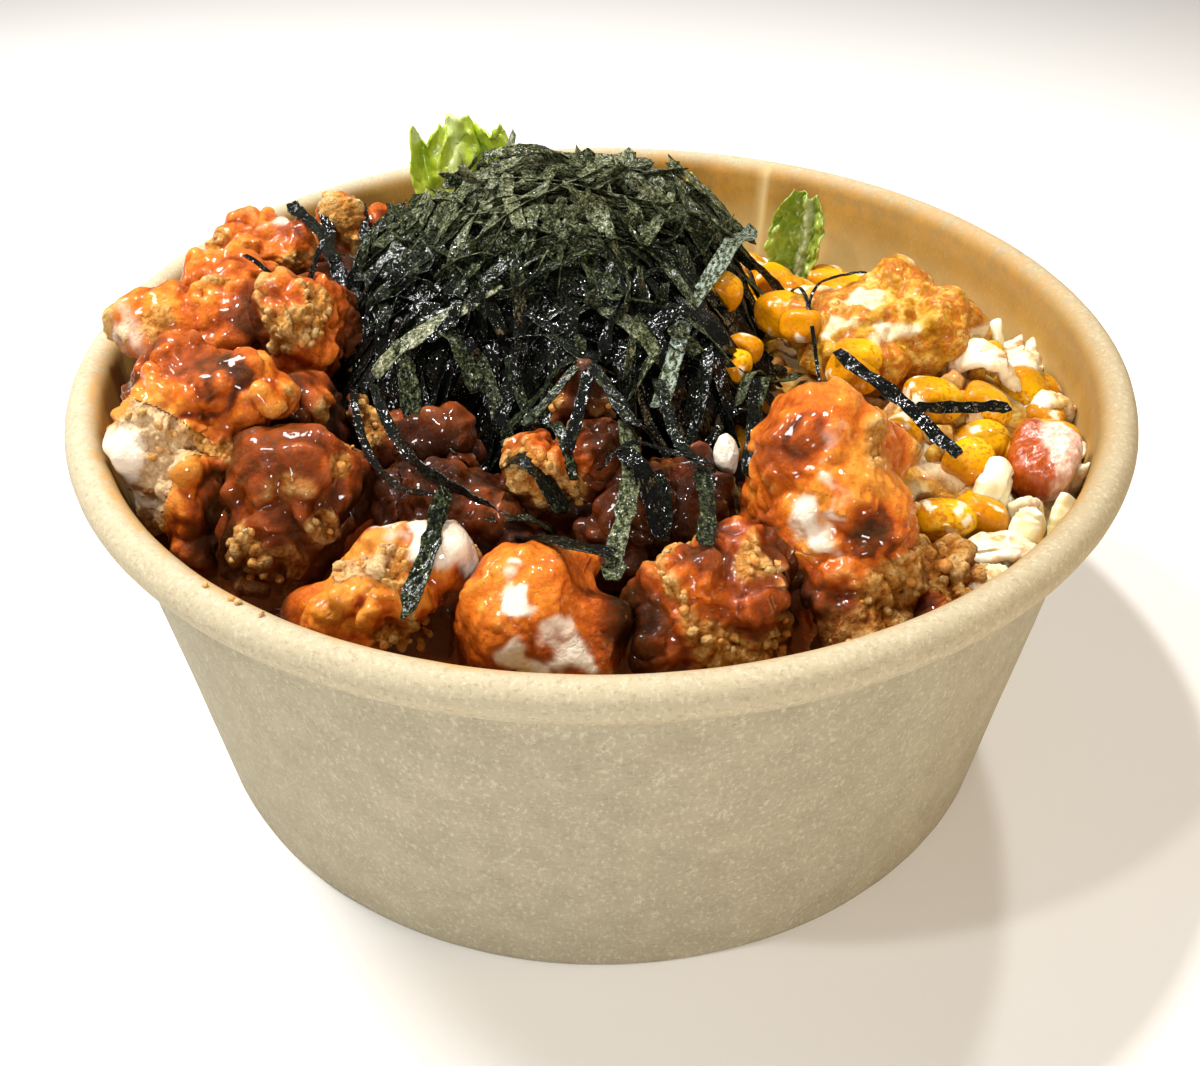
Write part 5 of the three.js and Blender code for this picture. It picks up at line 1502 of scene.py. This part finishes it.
# %% Curds of dressing
CURD_COUNT = 150
CURD_X = (24, 66)
CURD_Y = (-46, 38)
CURD_REACH = 67
CURD_FLOOR = 48
HIGHEST_CURD = 59
curd_places = np.column_stack([random.uniform(*CURD_X, CURD_COUNT), random.uniform(*CURD_Y, CURD_COUNT)])
curd_places = curd_places[np.hypot(curd_places[:, 0], curd_places[:, 1]) < CURD_REACH]
curd_places = np.column_stack([curd_places, heights_under(salad_tree, curd_places, CURD_FLOOR) + 0.2])
curd_places = curd_places[curd_places[:, 2] < HIGHEST_CURD]
curd, curd_faces, _ = ball_grid(6)
sizes = random.uniform(0.7, 2.0, (len(curd_places), 1, 1))
sizes = sizes * random.uniform(0.6, 1.2, (len(curd_places), 1, 3))
points, faces = copies((curd * sizes, curd_faces), random_turns(random, len(sizes), 0.5), curd_places)
points = points + 0.45 * shifts(points, 1.8, 2, 440)
cream = np.repeat(0.8 * random.random(len(sizes)) ** 3, len(curd)) * smooth_step(25, 5, points[:, 1])
make_piece("salad_curds", inside_wall(points), faces[0], DRESSING, [], {
    "mayo": cream, "dust": np.full(len(points), 0.8)})

# %% [markdown]
# ## The crab stick
# At the right edge lies a piece with a red-orange skin on one side and pale flesh in strands on
# the other. It is one lump, made as the chicken is, and one mark on its points tells skin from
# flesh, so that the border can wander without a seam.

# %% Skin and flesh
def crab_stick():
    """Orange-red skin on one side and pale pink flesh in strands on the other."""
    finish = Finish("crab_stick")
    strands = finish.speckle(0.5, 3, 0.6, finish.stretched(1, 1, 0.25))
    flesh = finish.ramp(strands, (0.35, "#d69a7c"), (0.65, "#ebd0bc"))
    skin = finish.ramp(strands, (0.3, "#8c3404"), (0.7, "#ac500c"))
    colour = finish.mix(finish.read("flesh"), skin, flesh)
    finish.set(Base_Color=colour, Roughness=0.3, Coat_Weight=0.3, Coat_Roughness=0.1)
    finish.set(Subsurface_Weight=0.3, Subsurface_Radius=(1.0, 0.6, 0.4), Subsurface_Scale=0.002)
    finish.bump((strands, 0.25, 0.6))
    return finish.material


# %% Shape the crab stick
points, faces, _ = base_lump("crab_stick", 0.25)
middle = points.mean(0)
flesh = smooth_step(-0.5, 0.9, points[:, 0] - middle[0] + 0.8 + 1.3 * rough(points, 4, 3, 7))
lift = 0.5 * rough(points, 5, 2, 431) + 0.25 * rough(points * [1, 1, 0.4], 1.6, 3, 430)
points = points + normals_of(points, faces) * lift[:, None]
make_piece("crab_piece", points, faces, crab_stick(), ["crab_stick"], {"flesh": flesh})

# %% [markdown]
# ## The lettuce
# Lettuce leaves stand against the back wall. Cloth could be left to fold by itself, but a leaf's
# waves grow in a known way, so a formula gives them: a leaf is one sheet that narrows to its foot,
# cups round its rib and ruffles more and more towards its torn edge. The leaf on the right hardly
# ruffles and ends in a point.

# %% Leaf sheets
LEAVES = [
    {"node": "lettuce_leaf_1", "middle": (-24.5, 52, 60), "width": 19, "height": 24, "turn": 14, "lean": 24,
     "ruffle": 1.0},
    {"node": "lettuce_leaf_2", "middle": (-7, 55.5, 53.5), "width": 20, "height": 18, "turn": 4, "lean": 22,
     "ruffle": 1.0},
    {"node": "lettuce_leaf_3", "middle": (9.5, 55, 52.5), "width": 17, "height": 16, "turn": -6, "lean": 20,
     "ruffle": 1.0},
    {"node": "lettuce_leaf_4", "middle": (36.2, 46.2, 53), "width": 11, "height": 18, "turn": -32, "lean": 12,
     "ruffle": 0.35},
]
LEAF_STEPS = (70, 60)


def leaf_sheet(leaf, seed):
    """A leaf's middle face, with u across it and v up it, each from 0 to 1. Its width goes as
    0.62 + 0.55 v less a share of v^5, it cups as 5 (2u - 1)^2 and ruffles as v^1.5 times waves in
    u that noise makes uneven, and its top edge is torn by noise."""
    u, v = np.meshgrid(*(np.linspace(0, 1, steps) for steps in LEAF_STEPS), indexing="ij")
    width, height = leaf["width"], leaf["height"]
    narrowing = 0.62 + 0.55 * v - (0.95 - 0.6 * leaf["ruffle"]) * v ** 5
    flat = np.stack([u.ravel() * 30, v.ravel() * 30, np.full(u.size, seed * 9.0)], 1)
    torn = (1.3 * rough(flat, 4, 4, seed)).reshape(u.shape) * v ** 3 * leaf["ruffle"]
    x = (u - 0.5) * width * narrowing + 0.5 * rough(flat, 6, 3, seed + 3).reshape(u.shape)
    drift = 2.5 * noise(flat, 9, seed + 4).reshape(u.shape)
    ruffle = 2.2 * leaf["ruffle"] * v ** 1.5 * np.sin(u * 19 + seed + 2 * v + drift)
    ruffle = ruffle + 1.2 * rough(flat, 4.0, 3, seed + 5).reshape(u.shape)
    y = ruffle - 5 * (2 * (u - 0.5)) ** 2
    z = (v - 0.5) * height + 2 * v * np.sin(u * 8 + seed) * leaf["ruffle"] + 1.6 * torn
    turning = Matrix.Rotation(math.radians(leaf["turn"]), 3, "Z") @ Matrix.Rotation(
        math.radians(-leaf["lean"]), 3, "X")
    sheet = np.stack([x, y, z], -1) @ np.array(turning).T + leaf["middle"]
    rib = np.exp(-((u - 0.5) * 14) ** 2) * (1 - 0.6 * v)
    return sheet, rib, v


# %% Fresh leaves
def fresh_leaf(name, foot, middle, top):
    """Leaf green from foot to top, paler along the ribs, with light coming through."""
    finish = Finish(name)
    veins = finish.cells(2.4, feature="DISTANCE_TO_EDGE")
    shade = finish.plus(finish.read("rise"), finish.times(finish.speckle(2, 4), 0.5))
    colour = finish.ramp(shade, (0.2, foot), (0.75, middle), (0.92308, top))
    colour = finish.mix(finish.range(veins, 0.0, 0.1, 0.18, 0), colour, "#c9d27e")
    colour = finish.mix(finish.read("rib"), colour, "#e2e6b4")
    finish.set(Base_Color=colour, Roughness=0.35, Coat_Weight=0.2, Coat_Roughness=0.2)
    finish.set(Subsurface_Weight=0.3, Subsurface_Radius=(0.6, 1.0, 0.2), Subsurface_Scale=0.001)
    finish.bump((veins, 0.2, 0.4), (finish.speckle(1, 3), 0.15, 0.4))
    return finish.material


BRIGHT_LEAF = fresh_leaf("bright_leaf", "#84702a", "#a6a636", "#98a824")
DARK_LEAF = fresh_leaf("dark_leaf", "#9aa248", "#88922e", "#7a8a24")
for number, leaf in enumerate(LEAVES):
    sheet, rib, rise = leaf_sheet(leaf, 60 + number)
    thickness = 0.25 + 0.9 * rib
    points, faces = closed_sheets(sheet[None], thickness[None])
    finish = DARK_LEAF if number == 3 else BRIGHT_LEAF
    make_piece(f"leaf_{number + 1}", points, faces, finish, [leaf["node"]], {
        "rib": np.tile(rib.ravel(), 2), "rise": np.tile(rise.ravel(), 2)})

# %% [markdown]
# ## The table
# A plain pale surface under the bowl, and nothing else.

# %% Lay the floor
FLOOR_HALF = 3000.0
corner = np.array([[-1, -1, 0], [1, -1, 0], [1, 1, 0], [-1, 1, 0]]) * FLOOR_HALF
floor_finish = Finish("pale_table")
floor_finish.set(Base_Color=paint("#f4f2ee"), Roughness=0.7)
print("table:", round(2 * FLOOR_HALF * MM, 1), "m across")
floor_mesh = bpy.data.meshes.new("table")
floor_mesh.from_pydata((corner * MM).tolist(), [], [(0, 1, 2, 3)])
floor_mesh.materials.append(floor_finish.material)
floor = bpy.data.objects.new("table", floor_mesh)
bpy.context.scene.collection.objects.link(floor)
